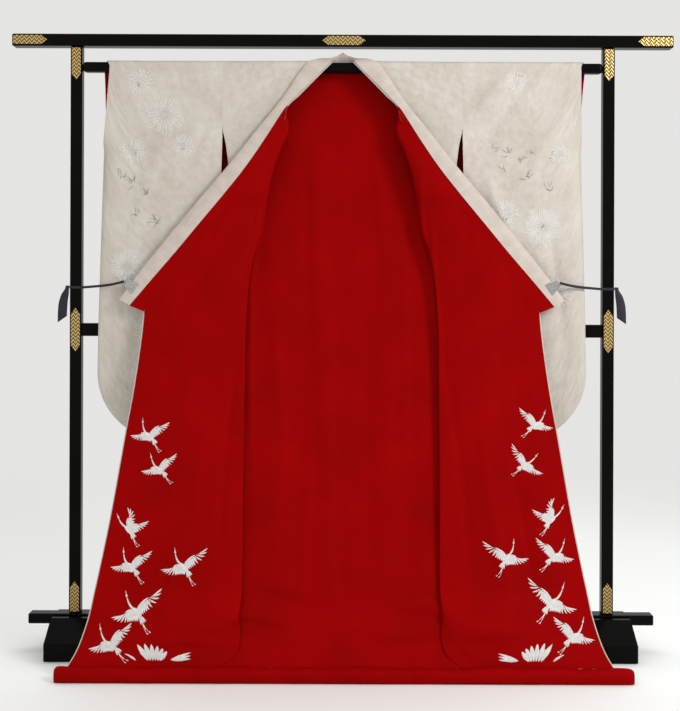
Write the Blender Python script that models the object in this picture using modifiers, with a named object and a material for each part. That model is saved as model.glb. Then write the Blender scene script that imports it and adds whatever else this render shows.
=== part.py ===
"""Uchikake wedding kimono on a lacquered clothes stand, both fronts turned back to the red lining."""

import math

import bmesh
import bpy
import numpy as np

# Sizes in metres: X to the viewer's right, Y away from the viewer, Z up, stand centred on Y = 0
CLOTH_NEAR = 0.00015
CLOTH_FAR = 0.00145
SEAM_GAP = 0.00015
STAND_Y = 0.08985

# Stand
POST_X = 0.751
POST_HALF_X = 0.0165
POST_HALF_Y = 0.015
POST_BOTTOM = 0.1023
POST_TOP = 1.7004
TOP_RAIL_HALF = 0.932
TOP_RAIL_Z = (1.7007, 1.7354)
TOP_RAIL_HALF_Y = 0.021
SLEEVE_RAIL_Z = (1.629, 1.658)
SLEEVE_RAIL_HALF_Y = 0.0175
SLEEVE_RAIL_ROUND = 0.010
MID_RAIL_Z = (0.8835, 0.92)
MID_RAIL_HALF_Y = 0.0135
BOTTOM_RAIL_HALF = 0.8805
BOTTOM_RAIL_Z = (0.0737, 0.102)
BOTTOM_RAIL_HALF_Y = 0.0205
RAIL_END_GAP = 0.0003
FOOT_X = (0.691, 0.811)
FOOT_PROFILE = (
    (-0.130, 0.0),
    (-0.130, 0.048),
    (-0.045, 0.097),
    (-0.0208, 0.097),
    (-0.0208, 0.0734),
    (0.0208, 0.0734),
    (0.0208, 0.097),
    (0.045, 0.097),
    (0.130, 0.048),
    (0.130, 0.0),
)
PLATE_THICK = 0.001
PLATE_CLEAR = 0.0003
PLATE_HALF = 0.0125
PLATE_POINT = 0.017

# Cloth over the sleeve rail: its middle surface, a flat top with rounded shoulders
HANG_HALF = 0.0199
HANG_TOP = 1.6604
HANG_ROUND = 0.0124
SLEEVE_SEAM_X = 0.337
SIDE_SEAM_TOP = 1.25
NECK_HALF = 0.10
OKUMI_TOP_Z = 1.25
OKUMI_WIDTH = 0.15
LAPEL_TOP_Z = 1.53

# Padded hem
HEM_HALF = 0.742
HEM_Y = -0.288
HEM_HEIGHT = 0.0355
HEM_WIDTH = 0.042
HEM_FLAT = 0.014
PANEL_BOTTOM = 0.0358

# Sleeve
CUFF_END_Z = 1.41
SLEEVE_BOTTOM = 0.594
SLEEVE_ROUND = 0.19
SLEEVE_EDGE = 0.05

COLLAR_WALL = 0.0013
COLLAR_FOLD = 0.0017
COLLAR_CENTRE = 0.0008
COLLAR_SEAM_TOP = 1.505
COLLAR_SEAM_GAP = 0.0007

COLOURS = {
    "outer_silk": ((0.72, 0.68, 0.61), 0.55, 0.0),
    "collar_silk": ((0.74, 0.68, 0.63), 0.6, 0.0),
    "red_lining": ((0.42, 0.012, 0.018), 0.6, 0.0),
    "black_lacquer": ((0.008, 0.007, 0.007), 0.12, 0.0),
    "gold_plate": ((0.50, 0.37, 0.17), 0.35, 1.0),
    "silver_clip": ((0.70, 0.70, 0.70), 0.3, 1.0),
    "purple_ribbon": ((0.10, 0.07, 0.10), 0.6, 0.0),
}


def monotone(keys, values, key):
    """Smooth curve through the rows that never overshoots them."""
    steps = np.diff(keys)
    slopes = np.diff(values) / steps
    tangents = np.zeros(len(keys))
    tangents[0] = slopes[0]
    tangents[-1] = slopes[-1]
    for i in range(1, len(keys) - 1):
        if slopes[i - 1] * slopes[i] > 0:
            first = 2 * steps[i] + steps[i - 1]
            second = steps[i] + 2 * steps[i - 1]
            tangents[i] = (first + second) / (first / slopes[i - 1] + second / slopes[i])
    at = np.clip(np.asarray(key, dtype=float), keys[0], keys[-1])
    i = np.clip(np.searchsorted(keys, at) - 1, 0, len(keys) - 2)
    t = (at - keys[i]) / steps[i]
    rise = values[i] * (1 + 2 * t) * (1 - t) ** 2 + values[i + 1] * t**2 * (3 - 2 * t)
    return rise + steps[i] * (tangents[i] * t * (1 - t) ** 2 - tangents[i + 1] * t**2 * (1 - t))


class Table:
    """Rows of named columns, read at any height."""

    def __init__(self, names, rows):
        values = np.array(sorted(rows), dtype=float)
        self.keys = values[:, 0]
        self.columns = {name: values[:, i] for i, name in enumerate(names.split())}

    def at(self, key, name):
        return monotone(self.keys, self.columns[name], key)


# Back: height, depth of its middle, reach of the side seam, how far that seam comes forward
BACK = Table(
    "z y side_x side_off",
    [
        (1.640, 0.0215, 0.337, 0.0),
        (1.600, 0.0230, 0.337, 0.0),
        (1.500, 0.0225, 0.337, 0.0),
        (1.475, 0.0220, 0.337, 0.0),
        (1.400, 0.0190, 0.333, 0.002),
        (1.330, 0.0150, 0.328, 0.006),
        (1.250, 0.0090, 0.320, 0.012),
        (1.150, -0.0020, 0.316, 0.014),
        (1.050, -0.0180, 0.313, 0.014),
        (0.950, -0.0330, 0.312, 0.014),
        (0.850, -0.0520, 0.311, 0.014),
        (0.700, -0.0830, 0.311, 0.014),
        (0.550, -0.1170, 0.311, 0.013),
        (0.400, -0.1530, 0.311, 0.012),
        (0.280, -0.1850, 0.311, 0.010),
        (0.180, -0.2140, 0.311, 0.008),
        (0.100, -0.2430, 0.311, 0.005),
        (0.035, -0.2835, 0.311, 0.0),
    ],
)

# Front above the side seam: height, depth and reach of its side
FRONT_TOP = Table(
    "z y side_x",
    [
        (1.640, -0.0215, 0.337),
        (1.600, -0.0240, 0.337),
        (1.500, -0.0265, 0.337),
        (1.475, -0.0265, 0.337),
        (1.420, -0.0258, 0.327),
        (1.350, -0.0200, 0.320),
        (1.250, -0.0030, 0.320),
    ],
)

# Front: height, then across and forward of the side seam for the turned-back fold and the free edge
FRONT = Table(
    "z fold_x fold_off edge_x edge_off",
    [
        (1.660, 0.050, 0.003, 0.062, 0.010),
        (1.640, 0.066, 0.003, 0.078, 0.010),
        (1.600, 0.100, 0.003, 0.112, 0.010),
        (1.550, 0.146, 0.003, 0.158, 0.010),
        (1.520, 0.160, 0.003, 0.172, 0.010),
        (1.470, 0.151, 0.004, 0.163, 0.011),
        (1.407, 0.174, 0.008, 0.200, 0.020),
        (1.345, 0.195, 0.014, 0.249, 0.036),
        (1.270, 0.210, 0.024, 0.308, 0.056),
        (1.186, 0.223, 0.023, 0.372, 0.054),
        (1.100, 0.250, 0.020, 0.437, 0.045),
        (1.017, 0.262, 0.017, 0.500, 0.036),
        (0.950, 0.266, 0.016, 0.549, 0.030),
        (0.900, 0.268, 0.016, 0.553, 0.028),
        (0.743, 0.268, 0.016, 0.571, 0.025),
        (0.610, 0.268, 0.015, 0.591, 0.023),
        (0.390, 0.268, 0.014, 0.623, 0.020),
        (0.280, 0.275, 0.0125, 0.642, 0.018),
        (0.215, 0.290, 0.012, 0.654, 0.016),
        (0.160, 0.311, 0.011, 0.664, 0.014),
        (0.115, 0.330, 0.007, 0.676, 0.009),
        (0.075, 0.345, 0.003, 0.690, 0.004),
        (0.035, 0.360, 0.0, 0.712, 0.0),
    ],
)

# Which way the plan of the cloth runs, in degrees: 0 outward, 90 forward, 180 inward
TURNS = Table(
    "z back_side front_side fold",
    [
        (1.660, 0.0, 180.0, 90.0),
        (1.450, 0.0, 180.0, 90.0),
        (1.350, 45.0, 140.0, 90.0),
        (1.250, 90.0, 90.0, 90.0),
        (0.215, 90.0, 90.0, 90.0),
        (0.160, 80.0, 80.0, 80.0),
        (0.115, 32.0, 32.0, 32.0),
        (0.075, 8.0, 8.0, 8.0),
        (0.035, 0.0, 0.0, 0.0),
    ],
)

# Soft folds that every layer of the body follows: side, middle, lean, width, height, from, to
BODY_FOLDS = (
    (-1, 0.175, 0.02, 0.040, 0.0060, 0.08, 1.20),
    (-1, 0.040, 0.05, 0.030, 0.0040, 0.10, 1.45),
    (-1, 0.440, -0.05, 0.045, 0.0050, 0.10, 0.95),
    (-1, 0.585, -0.06, 0.030, 0.0030, 0.10, 0.80),
    (1, 0.130, 0.03, 0.036, 0.0050, 0.08, 1.30),
    (1, 0.225, 0.00, 0.030, 0.0040, 0.08, 0.95),
    (1, 0.400, -0.06, 0.050, 0.0060, 0.10, 0.90),
    (1, 0.530, -0.07, 0.035, 0.0040, 0.10, 0.85),
)

# Slack above the hem: side, height, middle, half length, thickness, height of the fold
HEM_SLACK = (
    (-1, 0.150, 0.240, 0.170, 0.030, 0.0070),
    (-1, 0.095, 0.520, 0.120, 0.022, 0.0050),
    (-1, 0.235, 0.100, 0.130, 0.035, 0.0050),
    (1, 0.125, 0.200, 0.180, 0.028, 0.0065),
    (1, 0.190, 0.430, 0.140, 0.030, 0.0055),
    (1, 0.260, 0.090, 0.120, 0.035, 0.0045),
)

# Sleeve: height, inner and outer reach, depth of its front and back sheets
SLEEVE = Table(
    "z x_in x_out front back",
    [
        (1.660, 0.337, 0.670, -0.0199, 0.0199),
        (1.640, 0.337, 0.670, -0.0215, 0.0215),
        (1.600, 0.337, 0.670, -0.0240, 0.0230),
        (1.500, 0.337, 0.671, -0.0265, 0.0225),
        (1.475, 0.337, 0.671, -0.0270, 0.0210),
        (1.350, 0.339, 0.673, -0.0340, 0.0120),
        (1.200, 0.342, 0.676, -0.0380, 0.0),
        (1.050, 0.345, 0.679, -0.0400, -0.0120),
        (0.950, 0.347, 0.681, -0.0405, -0.0200),
        (0.900, 0.348, 0.682, -0.0405, -0.0215),
        (0.700, 0.350, 0.684, -0.0390, -0.0240),
        (0.594, 0.350, 0.684, -0.0355, -0.0285),
    ],
)

# Soft folds of the sleeves: side, start across and up, end across and up, width, height
SLEEVE_FOLDS = (
    (-1, 0.370, 1.520, 0.575, 1.190, 0.040, 0.0060),
    (-1, 0.470, 1.100, 0.500, 0.720, 0.045, 0.0040),
    (1, 0.475, 1.620, 0.375, 1.500, 0.030, 0.0045),
    (1, 0.430, 1.350, 0.520, 1.050, 0.050, 0.0050),
    (1, 0.590, 1.150, 0.560, 0.800, 0.040, 0.0040),
)

# Collar on the right: inner line, outer line, width of the part between the seam and the inner line
COLLAR = (
    (0.000, 0.0320, 1.652, 0.000, 0.0100, 1.690, 0.004),
    (0.012, 0.0265, 1.661, 0.035, 0.0085, 1.688, 0.004),
    (0.021, 0.0030, 1.668, 0.062, 0.0005, 1.681, 0.004),
    (0.031, -0.0235, 1.661, 0.087, -0.0100, 1.671, 0.004),
    (0.052, -0.0300, 1.640, 0.102, -0.0245, 1.657, 0.004),
    (0.087, -0.0335, 1.603, 0.121, -0.0310, 1.626, 0.005),
    (0.125, -0.0385, 1.563, 0.152, -0.0360, 1.577, 0.005),
    (0.158, -0.0415, 1.528, 0.182, -0.0390, 1.535, 0.004),
    (0.181, -0.0435, 1.494, 0.2055, -0.0410, 1.505, 0.020),
    (0.223, -0.0480, 1.428, 0.250, -0.0460, 1.449, 0.031),
    (0.273, -0.0560, 1.354, 0.304, -0.0500, 1.380, 0.029),
    (0.328, -0.0640, 1.283, 0.361, -0.0570, 1.310, 0.026),
    (0.395, -0.0690, 1.201, 0.428, -0.0630, 1.229, 0.029),
    (0.463, -0.0700, 1.119, 0.496, -0.0660, 1.146, 0.032),
    (0.528, -0.0730, 1.043, 0.559, -0.0700, 1.066, 0.035),
    (0.588, -0.0770, 0.971, 0.616, -0.0750, 0.988, 0.038),
)
CROSS_SEAM_ROW = 11

# Heights of the rows of a hanging panel, below the rounded shoulder of the rail
PANEL_ROWS = (
    1.640, 1.600, 1.530, 1.475, 1.407, 1.345, 1.250, 1.170, 1.085, 1.000, 0.920,
    0.820, 0.680, 0.530, 0.390, 0.280, 0.215, 0.160, 0.115, 0.075, PANEL_BOTTOM,
)  # fmt: skip
SHOULDER_DEGREES = (0.0, 45.0, 90.0)


def material(name):
    """Material of a slot, made once."""
    found = bpy.data.materials.get(name)
    if found:
        return found
    colour, rough, metal = COLOURS[name]
    made = bpy.data.materials.new(name)
    made.use_nodes = True
    node = made.node_tree.nodes["Principled BSDF"]
    node.inputs["Base Color"].default_value = (*colour, 1.0)
    node.inputs["Roughness"].default_value = rough
    node.inputs["Metallic"].default_value = metal
    made.diffuse_color = (*colour, 1.0)
    return made


def add(name, data, slot):
    """Object of the part with its material, in the part's collection."""
    made = bpy.data.objects.new(name, data)
    data.materials.append(material(slot))
    PARTS.objects.link(made)
    return made


def from_bmesh(name, mesh, slot):
    """Object from a finished bmesh, its faces turned outward."""
    bmesh.ops.recalc_face_normals(mesh, faces=mesh.faces)
    data = bpy.data.meshes.new(name)
    mesh.to_mesh(data)
    mesh.free()
    return add(name, data, slot)


def bevelled(made, width, segments=2):
    """Rounds the long edges of a beam."""
    modifier = made.modifiers.new("Bevel", "BEVEL")
    modifier.width = width
    modifier.segments = segments
    modifier.limit_method = "ANGLE"
    modifier.angle_limit = math.radians(30)
    return made


def beam(name, x, y, z, slot, bevel, segments=2):
    """Straight bar between two corners."""
    mesh = bmesh.new()
    bmesh.ops.create_cube(mesh, size=1.0)
    low = np.array((x[0], y[0], z[0]))
    high = np.array((x[1], y[1], z[1]))
    for vertex in mesh.verts:
        vertex.co = (low + high) / 2 + np.array(vertex.co) * (high - low)
    return bevelled(from_bmesh(name, mesh, slot), bevel, segments)


def through_highest(corners):
    """Two triangles of a four-sided cell, split through its highest corner."""
    a, b, c, d = range(4)
    highest = int(np.argmax([corner[2] for corner in corners]))
    return ((a, b, c), (a, c, d)) if highest in (a, c) else ((a, b, d), (b, c, d))


def loft(name, slot, rings, split=False):
    """Closed solid through rings of equal count, its two ends capped."""
    mesh = bmesh.new()
    rows = [[mesh.verts.new(point) for point in ring] for ring in rings]
    count = len(rows[0])
    for first, second in zip(rows, rows[1:]):
        for i in range(count):
            j = (i + 1) % count
            cell = (first[i], first[j], second[j], second[i])
            if split:
                for triangle in through_highest([vertex.co for vertex in cell]):
                    mesh.faces.new([cell[k] for k in triangle])
            else:
                mesh.faces.new(cell)
    mesh.faces.new(rows[0])
    mesh.faces.new(rows[-1])
    return from_bmesh(name, mesh, slot)


def flat_outline(name, slot, outline, depth, y):
    """Flat plate standing in the XZ plane, its front face at y."""
    data = bpy.data.curves.new(name, "CURVE")
    data.dimensions = "2D"
    data.fill_mode = "BOTH"
    data.extrude = depth / 2
    line = data.splines.new("POLY")
    line.points.add(len(outline) - 1)
    for point, (x, z) in zip(line.points, outline):
        point.co = (x, z, 0.0, 1.0)
    line.use_cyclic_u = True
    made = add(name, data, slot)
    made.rotation_euler = (math.radians(90), 0.0, 0.0)
    made.location = (0.0, y + depth / 2, 0.0)
    return made


def unit(vectors):
    """Vectors of length one."""
    length = np.linalg.norm(vectors, axis=-1, keepdims=True)
    return vectors / np.maximum(length, 1e-12)


def surface_normals(points):
    """Normals of a grid of points, to the lining side of the cloth."""
    down = np.gradient(points, axis=0)
    along = np.gradient(points, axis=1)
    return unit(np.cross(down, along))


def cloth(name, slot, points, normals, near, far, used=None, ids=None, high=False):
    """Closed sheet between two distances from a grid, over the cells in use."""
    rows, columns = points.shape[:2]
    if used is None:
        used = np.ones((rows - 1, columns - 1), dtype=bool)
    if ids is None:
        ids = np.arange(rows * columns).reshape(rows, columns)
    flat_points = points.reshape(-1, 3)
    flat_normals = normals.reshape(-1, 3)
    mesh = bmesh.new()
    layers = ({}, {})
    triangles = []
    for i, j in np.argwhere(used):
        corners = (ids[i, j], ids[i, j + 1], ids[i + 1, j + 1], ids[i + 1, j])
        a, b, c, d = corners
        short = np.linalg.norm(flat_points[a] - flat_points[c])
        other = np.linalg.norm(flat_points[b] - flat_points[d])
        split = ((a, b, c), (a, c, d)) if short <= other else ((a, b, d), (b, c, d))
        if high:
            cell = through_highest([flat_points[k] for k in corners])
            split = [tuple(corners[k] for k in triangle) for triangle in cell]
        triangles += [tri for tri in split if len(set(tri)) == 3]
    for tri in triangles:
        for index in tri:
            for layer, distance in zip(layers, (near, far)):
                if index not in layer:
                    layer[index] = mesh.verts.new(flat_points[index] + flat_normals[index] * distance)
    for a, b, c in triangles:
        mesh.faces.new((layers[0][a], layers[0][b], layers[0][c]))
        mesh.faces.new((layers[1][c], layers[1][b], layers[1][a]))
    directed = {(tri[k], tri[(k + 1) % 3]) for tri in triangles for k in range(3)}
    for a, b in directed:
        if (b, a) not in directed:
            mesh.faces.new((layers[0][b], layers[0][a], layers[1][a]))
            mesh.faces.new((layers[0][b], layers[1][a], layers[1][b]))
    return from_bmesh(name, mesh, slot)


def hermite(start, end, leave, arrive, count):
    """Plan curve between two points with the given pulls at its ends."""
    t = np.linspace(0.0, 1.0, count)[:, None]
    first = (1 + 2 * t) * (1 - t) ** 2
    second = t**2 * (3 - 2 * t)
    return first * start + second * end + t * (1 - t) ** 2 * leave - t**2 * (1 - t) * arrive


def heading(degrees):
    """Direction in plan: across and forward."""
    turn = math.radians(degrees)
    return np.array((math.cos(turn), math.sin(turn)))


def window(value, low, high, soft):
    """One between two heights, falling off softly outside them."""
    rise = np.clip((value - low) / soft, 0.0, 1.0)
    fall = np.clip((high - value) / soft, 0.0, 1.0)
    return rise**2 * (3 - 2 * rise) * fall**2 * (3 - 2 * fall)


def drape(points, side):
    """How far forward the soft folds carry a point of the body."""
    x = points[..., 0]
    z = points[..., 2]
    forward = np.zeros(x.shape)
    for fold_side, middle, lean, width, height, low, high in BODY_FOLDS:
        if fold_side == side:
            across = (x - middle - lean * (z - 0.6)) / width
            forward += height * np.exp(-(across**2)) * window(z, low, high, 0.15)
    for fold_side, level, middle, half, thick, height in HEM_SLACK:
        if fold_side == side:
            up = (z - level) / thick
            along = window(x, middle - half, middle + half, half * 0.8)
            forward += height * np.exp(-(up**2)) * along * window(z, PANEL_BOTTOM, 2.0, 0.04)
    near_centre = np.clip(x / 0.03, 0.0, 1.0)
    return forward * near_centre


def panel_rows():
    """Base point and outward direction of each row, from the middle of the rail down."""
    flat = HANG_HALF - HANG_ROUND
    rows = [(SEAM_GAP, HANG_TOP, 0.0)]
    for degrees in SHOULDER_DEGREES:
        turn = math.radians(degrees)
        rows.append((flat + HANG_ROUND * math.sin(turn), HANG_TOP - HANG_ROUND * (1 - math.cos(turn)), turn))
    return rows, list(PANEL_ROWS)


def placed(plan, depth, height, turn, toward):
    """Plan points of one row set in space; forward follows the shoulder of the rail."""
    points = np.zeros((len(plan), 3))
    points[:, 0] = plan[:, 0]
    points[:, 1] = depth + toward * plan[:, 1] * math.sin(turn)
    points[:, 2] = height + plan[:, 1] * math.cos(turn)
    return points


def back_surface(side):
    """Dense middle surface of half a back, centre to side seam."""
    shoulder, heights = panel_rows()
    rows = []
    for depth, height, turn in shoulder:
        plan = np.stack([np.linspace(0.0, SLEEVE_SEAM_X, 41), np.zeros(41)], axis=1)
        rows.append(placed(plan, depth, height, turn, 1))
    for z in heights:
        end = np.array((BACK.at(z, "side_x"), BACK.at(z, "side_off")))
        pull = end[0]
        arrive = heading(TURNS.at(z, "back_side")) * (pull if end[1] < 0.001 else 2.2 * end[1] + 0.02)
        plan = hermite(np.zeros(2), end, np.array((pull, 0.0)), arrive, 41)
        rows.append(placed(plan, BACK.at(z, "y"), z, math.pi / 2, -1))
    points = np.array(rows)
    points[..., 1] -= drape(points, side)
    return points


def front_depth(z):
    """Depth and reach of the front at its side."""
    if z > SIDE_SEAM_TOP:
        return FRONT_TOP.at(z, "y"), FRONT_TOP.at(z, "side_x")
    return BACK.at(z, "y") - BACK.at(z, "side_off"), BACK.at(z, "side_x")


def front_plan(z, reach):
    """Plan of the front at a height: side seam, turned-back fold, free edge."""
    side = np.array((reach, 0.0))
    fold = np.array((FRONT.at(z, "fold_x"), FRONT.at(z, "fold_off")))
    edge = np.array((FRONT.at(z, "edge_x"), FRONT.at(z, "edge_off")))
    span = np.linalg.norm(fold - side)
    leave = heading(TURNS.at(z, "front_side")) * min(span, 0.03 if z < SIDE_SEAM_TOP + 0.1 else span)
    turn = heading(TURNS.at(z, "fold"))
    closing = min(max((z - 0.075) / (0.215 - 0.075), 0.0), 1.0)
    bulge = max(1.6 * fold[1], 0.006) * closing + span * (1 - closing)
    under = hermite(side, fold, leave, turn * bulge, 41)
    width = np.linalg.norm(edge - fold)
    swing = max(1.8 * (edge[1] - fold[1]), 0.012) * closing + width * (1 - closing)
    lapel = hermite(fold, edge, turn * min(swing, width * 1.2), np.array((width, 0.0)), 61)
    return np.concatenate([under, lapel[1:]])


def front_surface(side):
    """Dense middle surface of a front and its okumi, side seam to free edge."""
    shoulder, heights = panel_rows()
    rows = []
    for depth, height, turn in shoulder:
        rows.append(placed(front_plan(height, SLEEVE_SEAM_X), -depth, height, turn, -1))
    for z in heights:
        depth, reach = front_depth(z)
        rows.append(placed(front_plan(z, reach), depth, z, math.pi / 2, -1))
    points = np.array(rows)
    points[..., 1] -= drape(points, side)
    return points


def body_surfaces(side):
    """Back and front of one side with their normals, which agree along the side seam."""
    back = back_surface(side)
    front = front_surface(side)
    back_normals = surface_normals(back)
    front_normals = surface_normals(front)
    first = len(SHOULDER_DEGREES) + 1 + PANEL_ROWS.index(SIDE_SEAM_TOP)
    shared = unit(back_normals[first:, -1] + front_normals[first:, 0])
    back_normals[first:, -1] = shared
    front_normals[first:, 0] = shared
    return back, back_normals, front, front_normals


def arc_lengths(points):
    """Length along each row at each of its points."""
    steps = np.linalg.norm(np.diff(points, axis=1), axis=2)
    return np.concatenate([np.zeros((len(points), 1)), np.cumsum(steps, axis=1)], axis=1)


def pick(points, normals, lengths, wanted):
    """Grid with its columns at the wanted lengths of each row."""
    shape = (len(points), len(wanted[0]), 3)
    places = np.zeros(shape)
    directions = np.zeros(shape)
    for i, row in enumerate(wanted):
        for axis in range(3):
            places[i, :, axis] = np.interp(row, lengths[i], points[i, :, axis])
            directions[i, :, axis] = np.interp(row, lengths[i], normals[i, :, axis])
    return places, unit(directions)


def on_side(grid, side):
    """The grid itself for the right side, mirrored for the left."""
    return grid * np.array((float(side), 1.0, 1.0))


def two_layers(stem, slot_word, places, directions, side, used):
    """The outer cloth and the lining of one panel."""
    word = "left" if side < 0 else "right"
    places = on_side(places, side)
    directions = on_side(directions, side)
    cloth(f"{stem}_{word}", slot_word, places, directions, -CLOTH_NEAR, -CLOTH_FAR, used)
    cloth(f"{stem}_lining_{word}", "red_lining", places, directions, CLOTH_NEAR, CLOTH_FAR, used)


def make_back(side, points, normals):
    """Half a back with its lining."""
    lengths = arc_lengths(points)
    shares = np.array((0.0, 0.15, NECK_HALF / SLEEVE_SEAM_X, 0.48, 0.66, 0.82, 0.94, 1.0))
    wanted = [
        SEAM_GAP + shares * (row[-1] - 3 * SEAM_GAP)
        for row in lengths
    ]
    places, directions = pick(points, normals, lengths, wanted)
    used = np.ones((len(places) - 1, len(shares) - 1), dtype=bool)
    used[: len(SHOULDER_DEGREES) + 1, :2] = False
    two_layers("back", "outer_silk", places, directions, side, used)


def okumi_width(z):
    """Width of the okumi: a wedge that starts under the collar."""
    return OKUMI_WIDTH * min(max((1.27 - z) / (1.27 - 0.85), 0.0), 1.0)


def make_front(side, points, normals):
    """A front and its okumi, each with its lining; returns the free edge and its normals."""
    lengths = arc_lengths(points)
    tops = len(SHOULDER_DEGREES) + 1
    heights = [HANG_TOP] * tops + list(PANEL_ROWS)
    wanted = []
    tips = []
    for z, row in zip(heights, lengths):
        fold = row[40]
        wedge = okumi_width(z)
        end = row[-1] - (wedge + SEAM_GAP if wedge > 0.002 else SEAM_GAP)
        near = min(0.006, (end - fold) * 0.3, fold * 0.12)
        under = [SEAM_GAP, fold * 0.3, fold * 0.6, fold * 0.85, fold - near]
        lapel = [fold, fold + near]
        rest = end - (fold + near)
        lapel += [fold + near + rest * share for share in (0.12, 0.34, 0.56, 0.78, 1.0)]
        wanted.append(np.array(under + lapel))
        start = row[-1] - wedge + SEAM_GAP
        tips.append(start + (row[-1] - SEAM_GAP - start) * np.array((0.0, 0.33, 0.67, 1.0)))
    places, directions = pick(points, normals, lengths, wanted)
    used = np.ones((len(places) - 1, places.shape[1] - 1), dtype=bool)
    first_lapel = heights.index(LAPEL_TOP_Z)
    used[:first_lapel, 5:] = False
    two_layers("front", "outer_silk", places, directions, side, used)
    first_okumi = heights.index(OKUMI_TOP_Z)
    places, directions = pick(
        points[first_okumi:], normals[first_okumi:], lengths[first_okumi:], tips[first_okumi:]
    )
    used = np.ones((len(places) - 1, 3), dtype=bool)
    two_layers("okumi", "outer_silk", places, directions, side, used)
    return points[first_lapel:, -1], normals[first_lapel:, -1]


def sleeve_bottom(x, x_out):
    """Height of the sewn bottom edge, rising round the outer corner."""
    past = np.clip(x - (x_out - SLEEVE_ROUND), 0.0, SLEEVE_ROUND)
    return SLEEVE_BOTTOM + SLEEVE_ROUND - np.sqrt(SLEEVE_ROUND**2 - past**2)


def sleeve_depth(x, z, face, side):
    """Depth of a sleeve's front (-1) or back (1) sheet, closing to the sewn edges."""
    x_out = SLEEVE.at(z, "x_out")
    middle = (SLEEVE.at(z, "front") + SLEEVE.at(z, "back")) / 2
    half = (SLEEVE.at(z, "back") - SLEEVE.at(z, "front")) / 2
    to_side = x_out - x + max(z - CUFF_END_Z, 0.0)
    to_bottom = z - SLEEVE_BOTTOM
    centre_x = x_out - SLEEVE_ROUND
    centre_z = SLEEVE_BOTTOM + SLEEVE_ROUND
    to_edge = min(to_side, to_bottom)
    if x > centre_x and z < centre_z:
        to_edge = SLEEVE_ROUND - math.hypot(x - centre_x, z - centre_z)
    share = min(max(to_edge / SLEEVE_EDGE, 0.0), 1.0)
    depth = middle + face * half * math.sqrt(max(1 - (1 - share) ** 2, 0.0))
    for fold_side, x1, z1, x2, z2, width, height in SLEEVE_FOLDS:
        if fold_side == side:
            run = np.array((x2 - x1, z2 - z1))
            offset = np.array((x - x1, z - z1))
            along = float(offset @ run / (run @ run))
            across = float(offset[0] * run[1] - offset[1] * run[0]) / np.linalg.norm(run) / width
            fade = float(window(np.array(along), 0.0, 1.0, 0.35))
            depth -= height * math.exp(-(across**2)) * fade * share
    return depth


def sleeve_grid(side, xs_of, levels, bottom_shares):
    """Front bottom, over the rail, back bottom: points of a sleeve's middle surface."""
    flat = HANG_HALF - HANG_ROUND
    half_rows = []
    columns = len(xs_of(1.6))
    for level in levels:
        xs = xs_of(level)
        half_rows.append([(xs[j], level) for j in range(columns)])
    last = levels[-1]
    for share in bottom_shares:
        row = []
        for j in range(columns):
            z = last
            for _ in range(6):
                xs = xs_of(z)
                low = float(sleeve_bottom(xs[j], float(SLEEVE.at(z, "x_out"))))
                z = last + share * (low - last)
            row.append((xs_of(z)[j], z))
        half_rows.append(row)
    front = [[(x, sleeve_depth(x, z, -1, side), z) for x, z in row] for row in half_rows]
    back = [[(x, sleeve_depth(x, z, 1, side), z) for x, z in row] for row in half_rows]
    top = []
    xs = xs_of(1.66)
    for degrees in (-90, -45, 0):
        turn = math.radians(degrees)
        y = -flat + HANG_ROUND * math.sin(turn)
        top.append([(x, y, HANG_TOP - HANG_ROUND * (1 - math.cos(turn))) for x in xs])
    top += [[(x, -y, z) for x, y, z in row] for row in reversed(top)]
    return np.array(front[::-1] + top + back)


def welded_ids(grid):
    """Numbers for the points of a grid, equal where points coincide."""
    flat = np.round(grid.reshape(-1, 3), 6)
    _, first, inverse = np.unique(flat, axis=0, return_index=True, return_inverse=True)
    return first[inverse.reshape(-1)].reshape(grid.shape[:2])


def mesh_normals(points, ids):
    """Normals of a welded grid, outward, weighed by the area of its cells."""
    flat = points.reshape(-1, 3)
    total = np.zeros(flat.shape)
    for i in range(points.shape[0] - 1):
        for j in range(points.shape[1] - 1):
            corners = (ids[i, j], ids[i + 1, j], ids[i + 1, j + 1], ids[i, j + 1])
            a, b, c, d = (flat[k] for k in corners)
            normal = np.cross(c - a, d - b)
            for k in set(corners):
                total[k] += normal
    return unit(total[ids.reshape(-1)]).reshape(points.shape)


def make_sleeve(side):
    """A sleeve sewn shut round its bottom and outer side, and the lining inside it."""
    word = "left" if side < 0 else "right"
    turns = np.radians((20.0, 38.0, 54.0, 68.0, 79.0, 90.0))

    def columns_at(z):
        x_in = float(SLEEVE.at(z, "x_in")) + SEAM_GAP
        x_out = float(SLEEVE.at(z, "x_out"))
        start = x_out - SLEEVE_ROUND
        flats = [x_in + (start - x_in) * share for share in (0.0, 0.33, 0.67, 1.0)]
        return flats + [start + SLEEVE_ROUND * math.sin(turn) for turn in turns]

    levels = (1.640, 1.600, 1.540, 1.475, CUFF_END_Z, 1.340)
    shares = (0.18, 0.36, 0.53, 0.69, 0.83, 0.92, 0.975, 1.0)
    points = sleeve_grid(side, columns_at, levels, shares)
    ids = welded_ids(points)
    normals = mesh_normals(points, ids)
    if normals[len(points) // 2, 3, 2] < 0:
        normals = -normals
    points = on_side(points, side)
    normals = on_side(normals, side)
    cloth(f"sleeve_{word}", "outer_silk", points, normals, CLOTH_NEAR, CLOTH_FAR, ids=ids)
    rows = len(points) - 1
    used = np.ones((rows, points.shape[1] - 1), dtype=bool)
    used[:2] = False
    used[rows - 2 :] = False
    below_cuff = len(shares) + 2
    used[:below_cuff, -3:] = False
    used[rows - below_cuff :, -3:] = False
    used[:5, -4:] = False
    used[rows - 5 :, -4:] = False
    cloth(f"sleeve_lining_{word}", "red_lining", points, normals, -CLOTH_NEAR, -CLOTH_FAR, used, ids)


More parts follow.
